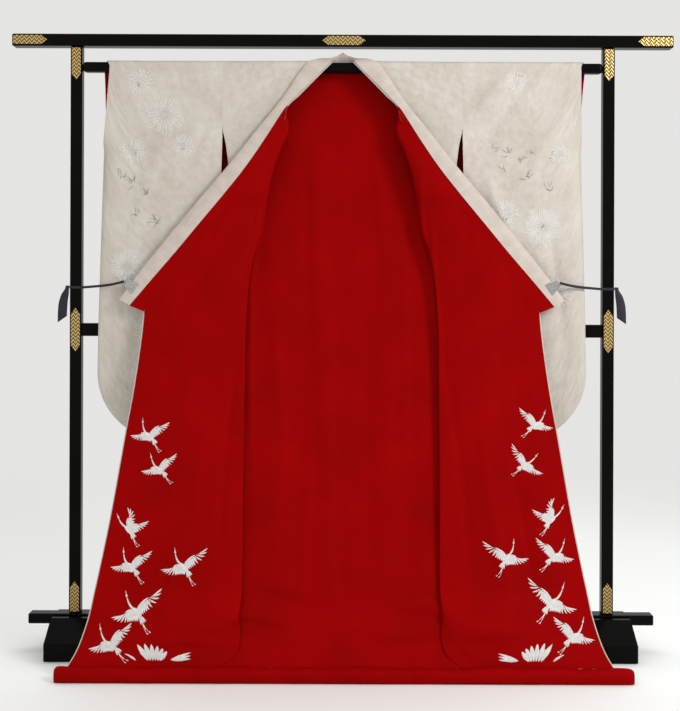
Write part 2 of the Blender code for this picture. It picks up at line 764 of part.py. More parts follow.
def through(points, count):
    """Smooth path through points, resampled to a count of stations."""
    points = np.array(points, dtype=float)
    steps = np.linalg.norm(np.diff(points[:, :3], axis=0), axis=1)
    keys = np.concatenate([[0.0], np.cumsum(steps)])
    wanted = np.linspace(0.0, keys[-1], count)
    padded = np.vstack([2 * points[0] - points[1], points, 2 * points[-1] - points[-2]])
    result = []
    for key in wanted:
        i = int(np.clip(np.searchsorted(keys, key) - 1, 0, len(keys) - 2))
        t = (key - keys[i]) / (keys[i + 1] - keys[i])
        p0, p1, p2, p3 = padded[i : i + 4]
        result.append(
            0.5 * (2 * p1 + (p2 - p0) * t + (2 * p0 - 5 * p1 + 4 * p2 - p3) * t**2
                   + (3 * p1 - p0 - 3 * p2 + p3) * t**3)
        )  # fmt: skip
    return np.array(result)


def nearest_on(path, directions, point):
    """Closest point of a polyline to a point, with its direction there."""
    best = (1e9, None, None)
    for i in range(len(path) - 1):
        run = path[i + 1] - path[i]
        t = min(max(float((point - path[i]) @ run / (run @ run)), 0.0), 1.0)
        spot = path[i] + t * run
        away = float(np.linalg.norm(point - spot))
        if away < best[0]:
            best = (away, spot, unit(directions[i] * (1 - t) + directions[i + 1] * t))
    return best


def collar_frames(rows, edge, edge_normals):
    """Seam, inner point, direction across the band, facing direction and width of each station."""
    inner = rows[:, 0:3]
    outer = rows[:, 3:6]
    along = unit(np.gradient((inner + outer) / 2, axis=0))
    across = outer - inner
    width = np.linalg.norm(across, axis=1)
    across = unit(across)
    facing = unit(np.cross(along, across))
    roots = inner - across * rows[:, 6:7]
    root_facing = facing.copy()
    for i, point in enumerate(inner):
        if point[2] < COLLAR_SEAM_TOP:
            away, spot, direction = nearest_on(edge, edge_normals, point)
            share = min((COLLAR_SEAM_TOP - point[2]) / 0.03, 1.0)
            clear = spot + unit(point - spot) * COLLAR_SEAM_GAP
            roots[i] = roots[i] * (1 - share) + clear * share
            root_facing[i] = unit(facing[i] * (1 - share) + direction * share)
    return inner, across, facing, width, roots, root_facing


def collar_ring(inner, across, facing, width, root, root_facing):
    """Section of the folded collar: behind the lining, round the outer edge, back to the inner line."""
    end = width - COLLAR_FOLD
    low = COLLAR_CENTRE - COLLAR_FOLD
    high = COLLAR_CENTRE + COLLAR_FOLD
    path = [(0.0, low), (end * 0.5, low), (end, low), (width, COLLAR_CENTRE)]
    path = np.array(path + [(end, high), (end * 0.5, high), (0.0, high)])
    tangents = unit(np.gradient(path, axis=0))
    sides = np.stack([tangents[:, 1], -tangents[:, 0]], axis=1) * COLLAR_WALL / 2
    outward = path + sides
    inward = (path - sides)[::-1]
    behind = [inner + u * across + w * facing for u, w in outward]
    within = [inner + u * across + w * facing for u, w in inward]
    ends = [root + root_facing * (low - COLLAR_WALL / 2), root + root_facing * (low + COLLAR_WALL / 2)]
    return np.array(ends[:1] + behind + within + ends[1:])


def collar_rows(side):
    """Stations of half a collar, following the soft folds of the front."""
    rows = np.array(COLLAR)
    for row in rows:
        for start in (0, 3):
            if row[start + 2] < 1.3:
                row[start + 1] -= float(drape(row[start : start + 3], side))
    return rows


def mirrored_rows(rows):
    """Stations of the other half, in reverse order."""
    return rows[::-1] * np.array((-1.0, 1.0, 1.0, -1.0, 1.0, 1.0, 1.0))


def make_collar(edges):
    """Over-collar round the neck, the collar's two ends and their linings."""
    halves = {side: through(collar_rows(side), 61) for side in (-1, 1)}
    frames = {side: collar_frames(halves[side], *edges[side]) for side in (-1, 1)}
    seam = np.array(COLLAR[CROSS_SEAM_ROW][0:3])
    cut = int(np.argmin(np.linalg.norm(halves[1][:, 0:3] - seam, axis=1)))
    neck = sorted(set(list(range(0, 11)) + list(range(12, 19, 2)) + list(range(21, cut, 3)) + [cut]))
    rings = []
    for side in (-1, 1):
        made = [on_side(collar_ring(*(part[i] for part in frames[side])), side) for i in neck]
        rings = rings + (made[::-1] if side < 0 else made[1:])
    loft("over_collar", "collar_silk", rings, split=True)
    for side in (-1, 1):
        word = "left" if side < 0 else "right"
        half = frames[side]
        picks = sorted(set(list(range(cut, len(half[0]), 3)) + [len(half[0]) - 1]))
        rings = [on_side(collar_ring(*(part[i] for part in half)), side) for i in picks]
        step = unit(rings[1].mean(axis=0) - rings[0].mean(axis=0))
        rings[0] = rings[0] + step * 2 * SEAM_GAP
        loft(f"collar_{word}", "collar_silk", rings, split=True)
        below = [i for i in neck if halves[side][i, 2] < COLLAR_SEAM_TOP - 0.008]
        make_collar_lining(word, side, below[:-1] + picks, half)


def make_collar_lining(word, side, picks, frames):
    """Red strip between the front's edge and the folded collar."""
    inner, across, facing, width, roots, root_facing = frames
    points = []
    normals = []
    for i in picks:
        tucked = inner[i] + (width[i] - COLLAR_FOLD) / 2 * across[i]
        points.append([roots[i], inner[i], tucked])
        normals.append([root_facing[i], facing[i], facing[i]])
    cloth(
        f"collar_lining_{word}", "red_lining", on_side(np.array(points), side),
        on_side(np.array(normals), side), CLOTH_NEAR, CLOTH_FAR, high=True,
    )  # fmt: skip


def make_hem():
    """Padded roll along the hem, flat where it rests."""
    stations = 30
    rings = []
    for i in range(stations):
        t = -1 + 2 * i / (stations - 1)
        x = HEM_HALF * math.sin(t * math.pi / 2) * 0.35 + HEM_HALF * t * 0.65
        close = min(1.0, (HEM_HALF - abs(x)) / 0.018)
        swell = 0.55 + 0.45 * math.sqrt(max(1 - (1 - close) ** 2, 0.0))
        plump = 1 + 0.04 * math.sin(x * 23) * math.sin(x * 9 + 0.6)
        half = HEM_WIDTH / 2 * swell * plump
        flat = HEM_FLAT * swell
        top = HEM_HEIGHT * (0.6 + 0.4 * swell)
        ring = [(x, HEM_Y - flat, 0.0), (x, HEM_Y + flat, 0.0)]
        for degrees in (-25, 5, 35, 65, 90, 115, 145, 175, 205):
            turn = math.radians(degrees)
            y = HEM_Y + half * math.cos(turn)
            z = top * (0.46 + 0.54 * math.sin(turn))
            ring.append((x, y, z))
        rings.append(np.array(ring))
    loft("hem_roll", "red_lining", rings)


def plate_outline(low, high, low_point, high_point, half):
    """Outline of a plate along one axis, each end pointed or square."""
    points = [(-half, low + (PLATE_POINT if low_point else 0.0))]
    if low_point:
        points.append((0.0, low))
    points.append((half, low + (PLATE_POINT if low_point else 0.0)))
    points.append((half, high - (PLATE_POINT if high_point else 0.0)))
    if high_point:
        points.append((0.0, high))
    points.append((-half, high - (PLATE_POINT if high_point else 0.0)))
    return points


def make_stand():
    """Feet, posts, rails and the brass plates on their front faces."""
    for word, side in (("left", -1), ("right", 1)):
        ends = sorted((side * FOOT_X[0], side * FOOT_X[1]))
        rings = [np.array([(x, y, z) for y, z in FOOT_PROFILE]) for x in ends]
        bevelled(loft(f"foot_{word}", "black_lacquer", rings), 0.0025, 1)
        x = sorted((side * (POST_X - POST_HALF_X), side * (POST_X + POST_HALF_X)))
        y = (-POST_HALF_Y, POST_HALF_Y)
        beam(f"post_{word}", x, y, (POST_BOTTOM, POST_TOP), "black_lacquer", 0.0025)
    inside = POST_X - POST_HALF_X - RAIL_END_GAP
    rails = (
        ("top_rail", TOP_RAIL_HALF, TOP_RAIL_HALF_Y, TOP_RAIL_Z, 0.004),
        ("sleeve_rail", inside, SLEEVE_RAIL_HALF_Y, SLEEVE_RAIL_Z, SLEEVE_RAIL_ROUND),
        ("mid_rail", inside, MID_RAIL_HALF_Y, MID_RAIL_Z, 0.0025),
        ("bottom_rail", BOTTOM_RAIL_HALF, BOTTOM_RAIL_HALF_Y, BOTTOM_RAIL_Z, 0.0035),
    )
    for name, half, deep, height, bevel in rails:
        steps = 3 if name == "sleeve_rail" else 2
        beam(name, (-half, half), (-deep, deep), height, "black_lacquer", bevel, steps)
    face = -TOP_RAIL_HALF_Y - PLATE_CLEAR - PLATE_THICK
    middle = sum(TOP_RAIL_Z) / 2
    rail_plates = (
        ("rail_plate_left", -0.9285, -0.832, False, True),
        ("rail_plate_centre", -0.0575, 0.0645, True, True),
        ("rail_plate_right", 0.832, 0.9285, True, False),
    )
    for name, low, high, low_point, high_point in rail_plates:
        outline = [(x, middle + z) for z, x in plate_outline(low, high, low_point, high_point, PLATE_HALF)]
        flat_outline(name, "gold_plate", outline, PLATE_THICK, face)
    face = -POST_HALF_Y - PLATE_CLEAR - PLATE_THICK
    post_plates = (
        ("top", 1.606, 1.697, True, False),
        ("mid", 0.841, 0.963, True, True),
        ("bottom", 0.107, 0.192, False, True),
    )
    for word, side in (("left", -1), ("right", 1)):
        for place, low, high, low_point, high_point in post_plates:
            rows = plate_outline(low, high, low_point, high_point, PLATE_HALF)
            outline = [(side * POST_X + x, z) for x, z in rows]
            flat_outline(f"post_plate_{place}_{word}", "gold_plate", outline, PLATE_THICK, face)


def make_clip(word, side, edge_line):
    """Fan-shaped clip over the outer edge of the collar, and where its ribbon starts."""
    rows = through(collar_rows(side), 61)
    inner, across, facing, width, _, _ = collar_frames(rows, *edge_line)
    i = int(np.argmin(np.abs(rows[:, 5] - 1.030)))
    along = unit(np.cross(across[i], facing[i]))
    edge = inner[i] + across[i] * (width[i] + COLLAR_WALL / 2)
    low = COLLAR_CENTRE - COLLAR_FOLD - COLLAR_WALL / 2 - 0.0005
    high = COLLAR_CENTRE + COLLAR_FOLD + COLLAR_WALL / 2 + 0.0005
    wall = 0.0014
    mouth = -0.019
    profile = (
        (mouth, low - wall), (0.013, low - wall), (0.015, COLLAR_CENTRE - 0.001),
        (0.015, COLLAR_CENTRE + 0.001), (0.013, high + wall), (mouth, high + wall),
        (mouth, high), (0.002, high), (0.002, low), (mouth, low),
    )  # fmt: skip
    rings = []
    for hand in (-1, 1):
        ring = []
        for u, w in profile:
            share = (u - mouth) / (0.015 - mouth)
            half = 0.018 - 0.009 * share
            ring.append(edge + across[i] * u + facing[i] * w + along * hand * half)
        rings.append(on_side(np.array(ring), side))
    bevelled(loft(f"clip_{word}", "silver_clip", rings), 0.0004, 1)
    return edge + across[i] * 0.0195 + facing[i] * COLLAR_CENTRE


def make_ribbon(word, side, start):
    """Ribbon from the clip round the post, and its hanging tail."""
    near = POST_HALF_X + 0.0012
    far = POST_HALF_Y + 0.0012
    level = 1.021
    path = [
        (start[0], start[1], start[2] - 0.002),
        (start[0] + 0.05, start[1] + 0.02, 1.0275),
        (POST_X - near - 0.006, -far - 0.006, level),
        (POST_X - near + 0.003, -far, level),
        (POST_X + near - 0.003, -far, level),
        (POST_X + near - 0.0008, -far + 0.0008, level),
        (POST_X + near, -far + 0.003, level),
        (POST_X + near, far - 0.003, level),
        (POST_X + near - 0.0008, far - 0.0008, level),
        (POST_X + near - 0.003, far, level),
        (POST_X - near + 0.003, far, level),
        (POST_X - near + 0.0008, far - 0.0008, level),
        (POST_X - near, far - 0.003, level),
        (POST_X - near, -far + 0.006, level),
    ]
    path = np.array(path)
    tangents = unit(np.gradient(path, axis=0) * np.array((1.0, 1.0, 0.0)))
    sides = np.stack([-tangents[:, 1], tangents[:, 0], np.zeros(len(path))], axis=1)
    rings = []
    for point, out in zip(path, sides):
        up = np.array((0.0, 0.0, 0.0035))
        flat = out * 0.0006
        rings.append(on_side(np.array((point - flat - up, point + flat - up, point + flat + up, point - flat + up)), side))
    loft(f"ribbon_{word}", "purple_ribbon", rings)
    tail = []
    rows = (
        # height of the left and right edge, middle, half width, depth
        (1.0260, 1.0255, 0.7746, 0.0050, -0.0125),
        (1.0180, 1.0165, 0.7752, 0.0056, -0.0140),
        (1.002, 1.000, 0.7800, 0.0105, -0.0175),
        (0.980, 0.978, 0.7845, 0.0125, -0.0190),
        (0.955, 0.953, 0.7862, 0.0130, -0.0205),
        (0.940, 0.922, 0.7870, 0.0130, -0.0195),
    )
    for z_left, z_right, middle, half, depth in rows:
        shape = [(middle - half, z_left), (middle, (z_left + z_right) / 2), (middle + half, z_right)]
        bend = (0.0, -0.0015, 0.0005)
        front = [(x, depth + b - 0.0006, z) for (x, z), b in zip(shape, bend)]
        back = [(x, depth + b + 0.0006, z) for (x, z), b in zip(reversed(shape), reversed(bend))]
        tail.append(on_side(np.array(front + back), side))
    loft(f"ribbon_tail_{word}", "purple_ribbon", tail)


for old in list(bpy.data.objects):
    bpy.data.objects.remove(old, do_unlink=True)

PARTS = bpy.data.collections.new("uchikake_on_stand")
bpy.context.scene.collection.children.link(PARTS)

make_stand()
edge_lines = {}
for hand in (-1, 1):
    back, back_out, front, front_out = body_surfaces(hand)
    make_back(hand, back, back_out)
    edge_lines[hand] = make_front(hand, front, front_out)
    make_sleeve(hand)
make_collar(edge_lines)
make_hem()
for label, hand in (("left", -1), ("right", 1)):
    make_ribbon(label, hand, make_clip(label, hand, edge_lines[hand]))

for item in PARTS.objects:
    item.location.y += STAND_Y
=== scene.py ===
"""Looks of the uchikake on its clothes stand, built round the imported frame."""

import math
import random

import bpy
import numpy as np
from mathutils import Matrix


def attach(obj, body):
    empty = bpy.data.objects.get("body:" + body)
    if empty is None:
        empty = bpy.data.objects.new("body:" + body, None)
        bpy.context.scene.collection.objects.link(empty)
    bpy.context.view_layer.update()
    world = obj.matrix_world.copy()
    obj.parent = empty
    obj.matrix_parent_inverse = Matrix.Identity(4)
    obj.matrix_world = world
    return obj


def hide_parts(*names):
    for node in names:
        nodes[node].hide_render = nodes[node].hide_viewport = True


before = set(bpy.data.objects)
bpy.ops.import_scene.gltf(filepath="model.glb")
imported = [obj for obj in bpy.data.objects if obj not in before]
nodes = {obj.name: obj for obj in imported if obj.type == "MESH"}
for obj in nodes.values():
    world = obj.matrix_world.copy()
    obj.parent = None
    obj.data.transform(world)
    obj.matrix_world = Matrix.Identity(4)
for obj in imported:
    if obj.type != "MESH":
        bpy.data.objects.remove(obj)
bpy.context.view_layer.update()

STAND_Y = 0.08985

# Sizes in metres: X to the viewer's right, Y away from the viewer, Z up, stand centred on Y = 0
CLOTH_NEAR = 0.00015
CLOTH_FAR = 0.00145
SEAM_GAP = 0.00015

# Stand
POST_X = 0.751
POST_HALF_X = 0.0165
POST_HALF_Y = 0.015

# Cloth over the sleeve rail: its middle surface, a flat top with rounded shoulders
HANG_HALF = 0.0199
HANG_TOP = 1.6604
HANG_ROUND = 0.0124
SLEEVE_SEAM_X = 0.337
SIDE_SEAM_TOP = 1.25
NECK_HALF = 0.05
OKUMI_WIDTH = 0.15
LAPEL_TOP_Z = 1.53

# Padded hem
HEM_HALF = 0.742
HEM_Y = -0.288
HEM_HEIGHT = 0.0355
HEM_WIDTH = 0.042
HEM_FLAT = 0.014
PANEL_BOTTOM = 0.0358

# Sleeve
CUFF_END_Z = 1.41
SLEEVE_BOTTOM = 0.594
SLEEVE_ROUND = 0.19
SLEEVE_EDGE = 0.05

COLLAR_WALL = 0.0013
COLLAR_FOLD = 0.0017
COLLAR_CENTRE = 0.0008
COLLAR_SEAM_TOP = 1.505
COLLAR_SEAM_GAP = 0.0001
COLLAR_LAP = 0.0035
COLLAR_LAP_Z = (1.42, 1.46)
OKUMI_LAP = 0.0016
OKUMI_LAP_Z = 1.15
CRANE_SCALE = 0.91
BROAD_FEATHERS = 8
FEATHERS = 13


def monotone(keys, values, key):
    """Smooth curve through the rows that never overshoots them."""
    steps = np.diff(keys)
    slopes = np.diff(values) / steps
    tangents = np.zeros(len(keys))
    tangents[0] = slopes[0]
    tangents[-1] = slopes[-1]
    for i in range(1, len(keys) - 1):
        if slopes[i - 1] * slopes[i] > 0:
            first = 2 * steps[i] + steps[i - 1]
            second = steps[i] + 2 * steps[i - 1]
            tangents[i] = (first + second) / (first / slopes[i - 1] + second / slopes[i])
    at = np.clip(np.asarray(key, dtype=float), keys[0], keys[-1])
    i = np.clip(np.searchsorted(keys, at) - 1, 0, len(keys) - 2)
    t = (at - keys[i]) / steps[i]
    rise = values[i] * (1 + 2 * t) * (1 - t) ** 2 + values[i + 1] * t**2 * (3 - 2 * t)
    return rise + steps[i] * (tangents[i] * t * (1 - t) ** 2 - tangents[i + 1] * t**2 * (1 - t))


class Table:
    """Rows of named columns, read at any height."""

    def __init__(self, names, rows):
        values = np.array(sorted(rows), dtype=float)
        self.keys = values[:, 0]
        self.columns = {name: values[:, i] for i, name in enumerate(names.split())}

    def at(self, key, name):
        return monotone(self.keys, self.columns[name], key)


# Back: height, depth of its middle, reach of the side seam, how far that seam comes forward
BACK = Table(
    "z y side_x side_off",
    [
        (1.640, 0.0215, 0.337, 0.0),
        (1.600, 0.0230, 0.337, 0.0),
        (1.500, 0.0225, 0.337, 0.0),
        (1.475, 0.0220, 0.337, 0.0),
        (1.400, 0.0190, 0.333, 0.002),
        (1.330, 0.0150, 0.328, 0.006),
        (1.250, 0.0090, 0.320, 0.012),
        (1.150, -0.0020, 0.316, 0.014),
        (1.050, -0.0180, 0.313, 0.014),
        (0.950, -0.0330, 0.312, 0.014),
        (0.850, -0.0520, 0.311, 0.014),
        (0.700, -0.0830, 0.311, 0.014),
        (0.550, -0.1170, 0.311, 0.013),
        (0.400, -0.1530, 0.311, 0.012),
        (0.280, -0.1850, 0.311, 0.010),
        (0.180, -0.2140, 0.311, 0.008),
        (0.100, -0.2430, 0.311, 0.005),
        (0.035, -0.2835, 0.311, 0.0),
    ],
)

# Front above the side seam: height, depth and reach of its side
FRONT_TOP = Table(
    "z y side_x",
    [
        (1.640, -0.0215, 0.337),
        (1.600, -0.0240, 0.337),
        (1.500, -0.0265, 0.337),
        (1.475, -0.0265, 0.337),
        (1.420, -0.0258, 0.327),
        (1.350, -0.0200, 0.320),
        (1.250, -0.0030, 0.320),
    ],
)

# Front: height, then across and forward of the side seam for the turned-back fold and the free edge
FRONT = Table(
    "z fold_x fold_off edge_x edge_off",
    [
        (1.660, 0.050, 0.003, 0.062, 0.010),
        (1.640, 0.066, 0.003, 0.078, 0.010),
        (1.600, 0.100, 0.003, 0.112, 0.010),
        (1.550, 0.146, 0.003, 0.158, 0.010),
        (1.520, 0.160, 0.003, 0.172, 0.010),
        (1.470, 0.151, 0.004, 0.163, 0.011),
        (1.407, 0.174, 0.008, 0.200, 0.020),
        (1.345, 0.195, 0.014, 0.249, 0.036),
        (1.270, 0.210, 0.024, 0.308, 0.056),
        (1.186, 0.223, 0.023, 0.372, 0.054),
        (1.100, 0.250, 0.020, 0.437, 0.045),
        (1.017, 0.262, 0.017, 0.500, 0.036),
        (0.950, 0.266, 0.016, 0.549, 0.030),
        (0.900, 0.268, 0.016, 0.553, 0.028),
        (0.743, 0.268, 0.014, 0.571, 0.022),
        (0.610, 0.268, 0.012, 0.591, 0.018),
        (0.390, 0.266, 0.009, 0.623, 0.014),
        (0.280, 0.264, 0.0075, 0.642, 0.012),
        (0.215, 0.264, 0.0065, 0.654, 0.010),
        (0.160, 0.268, 0.0055, 0.664, 0.008),
        (0.115, 0.266, 0.005, 0.676, 0.008),
        (0.075, 0.272, 0.004, 0.690, 0.005),
        (0.035, 0.316, 0.0, 0.712, 0.0),
    ],
)

# Which way the plan of the cloth runs, in degrees: 0 outward, 90 forward, 180 inward
TURNS = Table(
    "z back_side front_side fold",
    [
        (1.660, 0.0, 180.0, 90.0),
        (1.450, 0.0, 180.0, 90.0),
        (1.350, 45.0, 140.0, 90.0),
        (1.250, 90.0, 90.0, 90.0),
        (0.215, 90.0, 90.0, 90.0),
        (0.160, 80.0, 80.0, 80.0),
        (0.115, 32.0, 32.0, 32.0),
        (0.075, 8.0, 8.0, 8.0),
        (0.035, 0.0, 0.0, 0.0),
    ],
)

# Soft folds that every layer of the body follows: side, middle, lean, width, height, from, to
BODY_FOLDS = (
    (-1, 0.175, 0.02, 0.040, 0.0060, 0.08, 1.20),
    (-1, 0.040, 0.05, 0.030, 0.0040, 0.10, 1.45),
    (-1, 0.440, -0.05, 0.045, 0.0050, 0.10, 0.95),
    (-1, 0.585, -0.06, 0.030, 0.0030, 0.10, 0.80),
    (1, 0.130, 0.03, 0.036, 0.0050, 0.08, 1.30),
    (1, 0.225, 0.00, 0.030, 0.0040, 0.08, 0.95),
    (1, 0.400, -0.06, 0.050, 0.0060, 0.10, 0.90),
    (1, 0.530, -0.07, 0.035, 0.0040, 0.10, 0.85),
)

# Slack above the hem: side, height, middle, half length, thickness, height of the fold
HEM_SLACK = (
    (-1, 0.150, 0.240, 0.170, 0.030, 0.0070),
    (-1, 0.095, 0.520, 0.120, 0.022, 0.0050),
    (-1, 0.235, 0.100, 0.130, 0.035, 0.0050),
    (1, 0.125, 0.200, 0.180, 0.028, 0.0065),
    (1, 0.190, 0.430, 0.140, 0.030, 0.0055),
    (1, 0.260, 0.090, 0.120, 0.035, 0.0045),
)

# Sleeve: height, inner and outer reach, depth of its front and back sheets
SLEEVE = Table(
    "z x_in x_out front back",
    [
        (1.660, 0.337, 0.670, -0.0199, 0.0199),
        (1.640, 0.337, 0.670, -0.0215, 0.0215),
        (1.600, 0.337, 0.670, -0.0240, 0.0230),
        (1.500, 0.337, 0.671, -0.0265, 0.0225),
        (1.475, 0.337, 0.671, -0.0270, 0.0210),
        (1.350, 0.339, 0.673, -0.0340, 0.0120),
        (1.200, 0.342, 0.676, -0.0380, 0.0),
        (1.050, 0.345, 0.679, -0.0400, -0.0120),
        (0.950, 0.347, 0.681, -0.0405, -0.0200),
        (0.900, 0.348, 0.682, -0.0405, -0.0215),
        (0.700, 0.350, 0.684, -0.0390, -0.0240),
        (0.594, 0.350, 0.684, -0.0355, -0.0285),
    ],
)

# Soft folds of the sleeves: side, start across and up, end across and up, width, height
SLEEVE_FOLDS = (
    (-1, 0.370, 1.520, 0.575, 1.190, 0.040, 0.0060),
    (-1, 0.470, 1.100, 0.500, 0.720, 0.045, 0.0040),
    (1, 0.475, 1.620, 0.375, 1.500, 0.030, 0.0045),
    (1, 0.430, 1.350, 0.520, 1.050, 0.050, 0.0050),
    (1, 0.590, 1.150, 0.560, 0.800, 0.040, 0.0040),
)

# Collar on the right: inner line, outer line, width of the part between the seam and the inner line
COLLAR = (
    (0.000, 0.0300, 1.648, 0.000, 0.0100, 1.690, 0.004),
    (0.018, 0.0285, 1.649, 0.014, 0.0095, 1.6815, 0.004),
    (0.030, 0.0170, 1.660, 0.030, 0.0040, 1.6755, 0.004),
    (0.034, 0.0020, 1.6635, 0.050, -0.0010, 1.6700, 0.004),
    (0.033, -0.0225, 1.6575, 0.074, -0.0150, 1.6655, 0.004),
    (0.052, -0.0300, 1.637, 0.098, -0.0260, 1.656, 0.004),
    (0.087, -0.0335, 1.603, 0.121, -0.0310, 1.626, 0.005),
    (0.125, -0.0385, 1.563, 0.152, -0.0360, 1.577, 0.005),
    (0.158, -0.0415, 1.528, 0.182, -0.0390, 1.535, 0.004),
    (0.181, -0.0435, 1.494, 0.2055, -0.0410, 1.505, 0.020),
    (0.223, -0.0480, 1.428, 0.250, -0.0460, 1.449, 0.031),
    (0.273, -0.0560, 1.354, 0.304, -0.0500, 1.380, 0.029),
    (0.328, -0.0640, 1.283, 0.361, -0.0570, 1.310, 0.026),
    (0.395, -0.0690, 1.201, 0.428, -0.0630, 1.229, 0.029),
    (0.463, -0.0700, 1.119, 0.496, -0.0660, 1.146, 0.032),
    (0.528, -0.0730, 1.043, 0.559, -0.0700, 1.066, 0.035),
    (0.588, -0.0770, 0.971, 0.616, -0.0750, 0.988, 0.038),
)
CROSS_SEAM_ROW = 12


def unit(vectors):
    """Vectors of length one."""
    length = np.linalg.norm(vectors, axis=-1, keepdims=True)
    return vectors / np.maximum(length, 1e-12)


def surface_normals(points):
    """Normals of a grid of points, to the lining side of the cloth."""
    down = np.gradient(points, axis=0)
    along = np.gradient(points, axis=1)
    return unit(np.cross(down, along))


def hermite(start, end, leave, arrive, count):
    """Plan curve between two points with the given pulls at its ends."""
    t = np.linspace(0.0, 1.0, count)[:, None]
    first = (1 + 2 * t) * (1 - t) ** 2
    second = t**2 * (3 - 2 * t)
    return first * start + second * end + t * (1 - t) ** 2 * leave - t**2 * (1 - t) * arrive


def heading(degrees):
    """Direction in plan: across and forward."""
    turn = math.radians(degrees)
    return np.array((math.cos(turn), math.sin(turn)))


def window(value, low, high, soft):
    """One between two heights, falling off softly outside them."""
    rise = np.clip((value - low) / soft, 0.0, 1.0)
    fall = np.clip((high - value) / soft, 0.0, 1.0)
    return rise**2 * (3 - 2 * rise) * fall**2 * (3 - 2 * fall)


def drape(points, side):
    """How far forward the soft folds carry a point of the body."""
    x = points[..., 0]
    z = points[..., 2]
    forward = np.zeros(x.shape)
    for fold_side, middle, lean, width, height, low, high in BODY_FOLDS:
        if fold_side == side:
            across = (x - middle - lean * (z - 0.6)) / width
            forward += height * np.exp(-(across**2)) * window(z, low, high, 0.15)
    for fold_side, level, middle, half, thick, height in HEM_SLACK:
        if fold_side == side:
            up = (z - level) / thick
            along = window(x, middle - half, middle + half, half * 0.8)
            forward += height * np.exp(-(up**2)) * along * window(z, PANEL_BOTTOM, 2.0, 0.04)
    near_centre = np.clip(x / 0.03, 0.0, 1.0)
    return forward * near_centre


def placed(plan, depth, height, turn, toward):
    """Plan points of one row set in space; forward follows the shoulder of the rail."""
    points = np.zeros((len(plan), 3))
    points[:, 0] = plan[:, 0]
    points[:, 1] = depth + toward * plan[:, 1] * math.sin(turn)
    points[:, 2] = height + plan[:, 1] * math.cos(turn)
    return points


def front_depth(z):
    """Depth and reach of the front at its side."""
    if z > SIDE_SEAM_TOP:
        return FRONT_TOP.at(z, "y"), FRONT_TOP.at(z, "side_x")
    return BACK.at(z, "y") - BACK.at(z, "side_off"), BACK.at(z, "side_x")


def front_plan(z, reach):
    """Plan of the front at a height: side seam, turned-back fold, free edge."""
    side = np.array((reach, 0.0))
    fold = np.array((FRONT.at(z, "fold_x"), FRONT.at(z, "fold_off")))
    edge = np.array((FRONT.at(z, "edge_x"), FRONT.at(z, "edge_off")))
    span = np.linalg.norm(fold - side)
    leave = heading(TURNS.at(z, "front_side")) * min(span, 0.03 if z < SIDE_SEAM_TOP + 0.1 else span)
    turn = heading(TURNS.at(z, "fold"))
    closing = min(max((z - 0.075) / (0.215 - 0.075), 0.0), 1.0)
    bulge = max(1.6 * fold[1], 0.006) * closing + span * (1 - closing)
    under = hermite(side, fold, leave, turn * bulge, 41)
    width = np.linalg.norm(edge - fold)
    swing = max(1.8 * (edge[1] - fold[1]), 0.012) * closing + width * (1 - closing)
    lapel = hermite(fold, edge, turn * min(swing, width * 1.2), np.array((width, 0.0)), 61)
    return np.concatenate([under, lapel[1:]])


def arc_lengths(points):
    """Length along each row at each of its points."""
    steps = np.linalg.norm(np.diff(points, axis=1), axis=2)
    return np.concatenate([np.zeros((len(points), 1)), np.cumsum(steps, axis=1)], axis=1)


def pick(points, normals, lengths, wanted):
    """Grid with its columns at the wanted lengths of each row."""
    shape = (len(points), len(wanted[0]), 3)
    places = np.zeros(shape)
    directions = np.zeros(shape)
    for i, row in enumerate(wanted):
        for axis in range(3):
            places[i, :, axis] = np.interp(row, lengths[i], points[i, :, axis])
            directions[i, :, axis] = np.interp(row, lengths[i], normals[i, :, axis])
    return places, unit(directions)


def on_side(grid, side):
    """The grid itself for the right side, mirrored for the left."""
    return grid * np.array((float(side), 1.0, 1.0))


def okumi_width(z):
    """Width of the okumi: a wedge that starts under the collar."""
    return OKUMI_WIDTH * min(max((1.27 - z) / (1.27 - 0.85), 0.0), 1.0)


def sleeve_bottom(x, x_out):
    """Height of the sewn bottom edge, rising round the outer corner."""
    past = np.clip(x - (x_out - SLEEVE_ROUND), 0.0, SLEEVE_ROUND)
    return SLEEVE_BOTTOM + SLEEVE_ROUND - np.sqrt(SLEEVE_ROUND**2 - past**2)


def through(points, count):
    """Smooth path through points, resampled to a count of stations."""
    points = np.array(points, dtype=float)
    steps = np.linalg.norm(np.diff(points[:, :3], axis=0), axis=1)
    keys = np.concatenate([[0.0], np.cumsum(steps)])
    wanted = np.linspace(0.0, keys[-1], count)
    padded = np.vstack([2 * points[0] - points[1], points, 2 * points[-1] - points[-2]])
    result = []
    for key in wanted:
        i = int(np.clip(np.searchsorted(keys, key) - 1, 0, len(keys) - 2))
        t = (key - keys[i]) / (keys[i + 1] - keys[i])
        p0, p1, p2, p3 = padded[i : i + 4]
        result.append(
            0.5 * (2 * p1 + (p2 - p0) * t + (2 * p0 - 5 * p1 + 4 * p2 - p3) * t**2
                   + (3 * p1 - p0 - 3 * p2 + p3) * t**3)
        )  # fmt: skip
    return np.array(result)


def nearest_on(path, directions, point):
    """Closest point of a polyline to a point, with its direction there."""
    best = (1e9, None, None)
    for i in range(len(path) - 1):
        run = path[i + 1] - path[i]
        t = min(max(float((point - path[i]) @ run / (run @ run)), 0.0), 1.0)
        spot = path[i] + t * run
        away = float(np.linalg.norm(point - spot))
        if away < best[0]:
            best = (away, spot, unit(directions[i] * (1 - t) + directions[i + 1] * t))
    return best


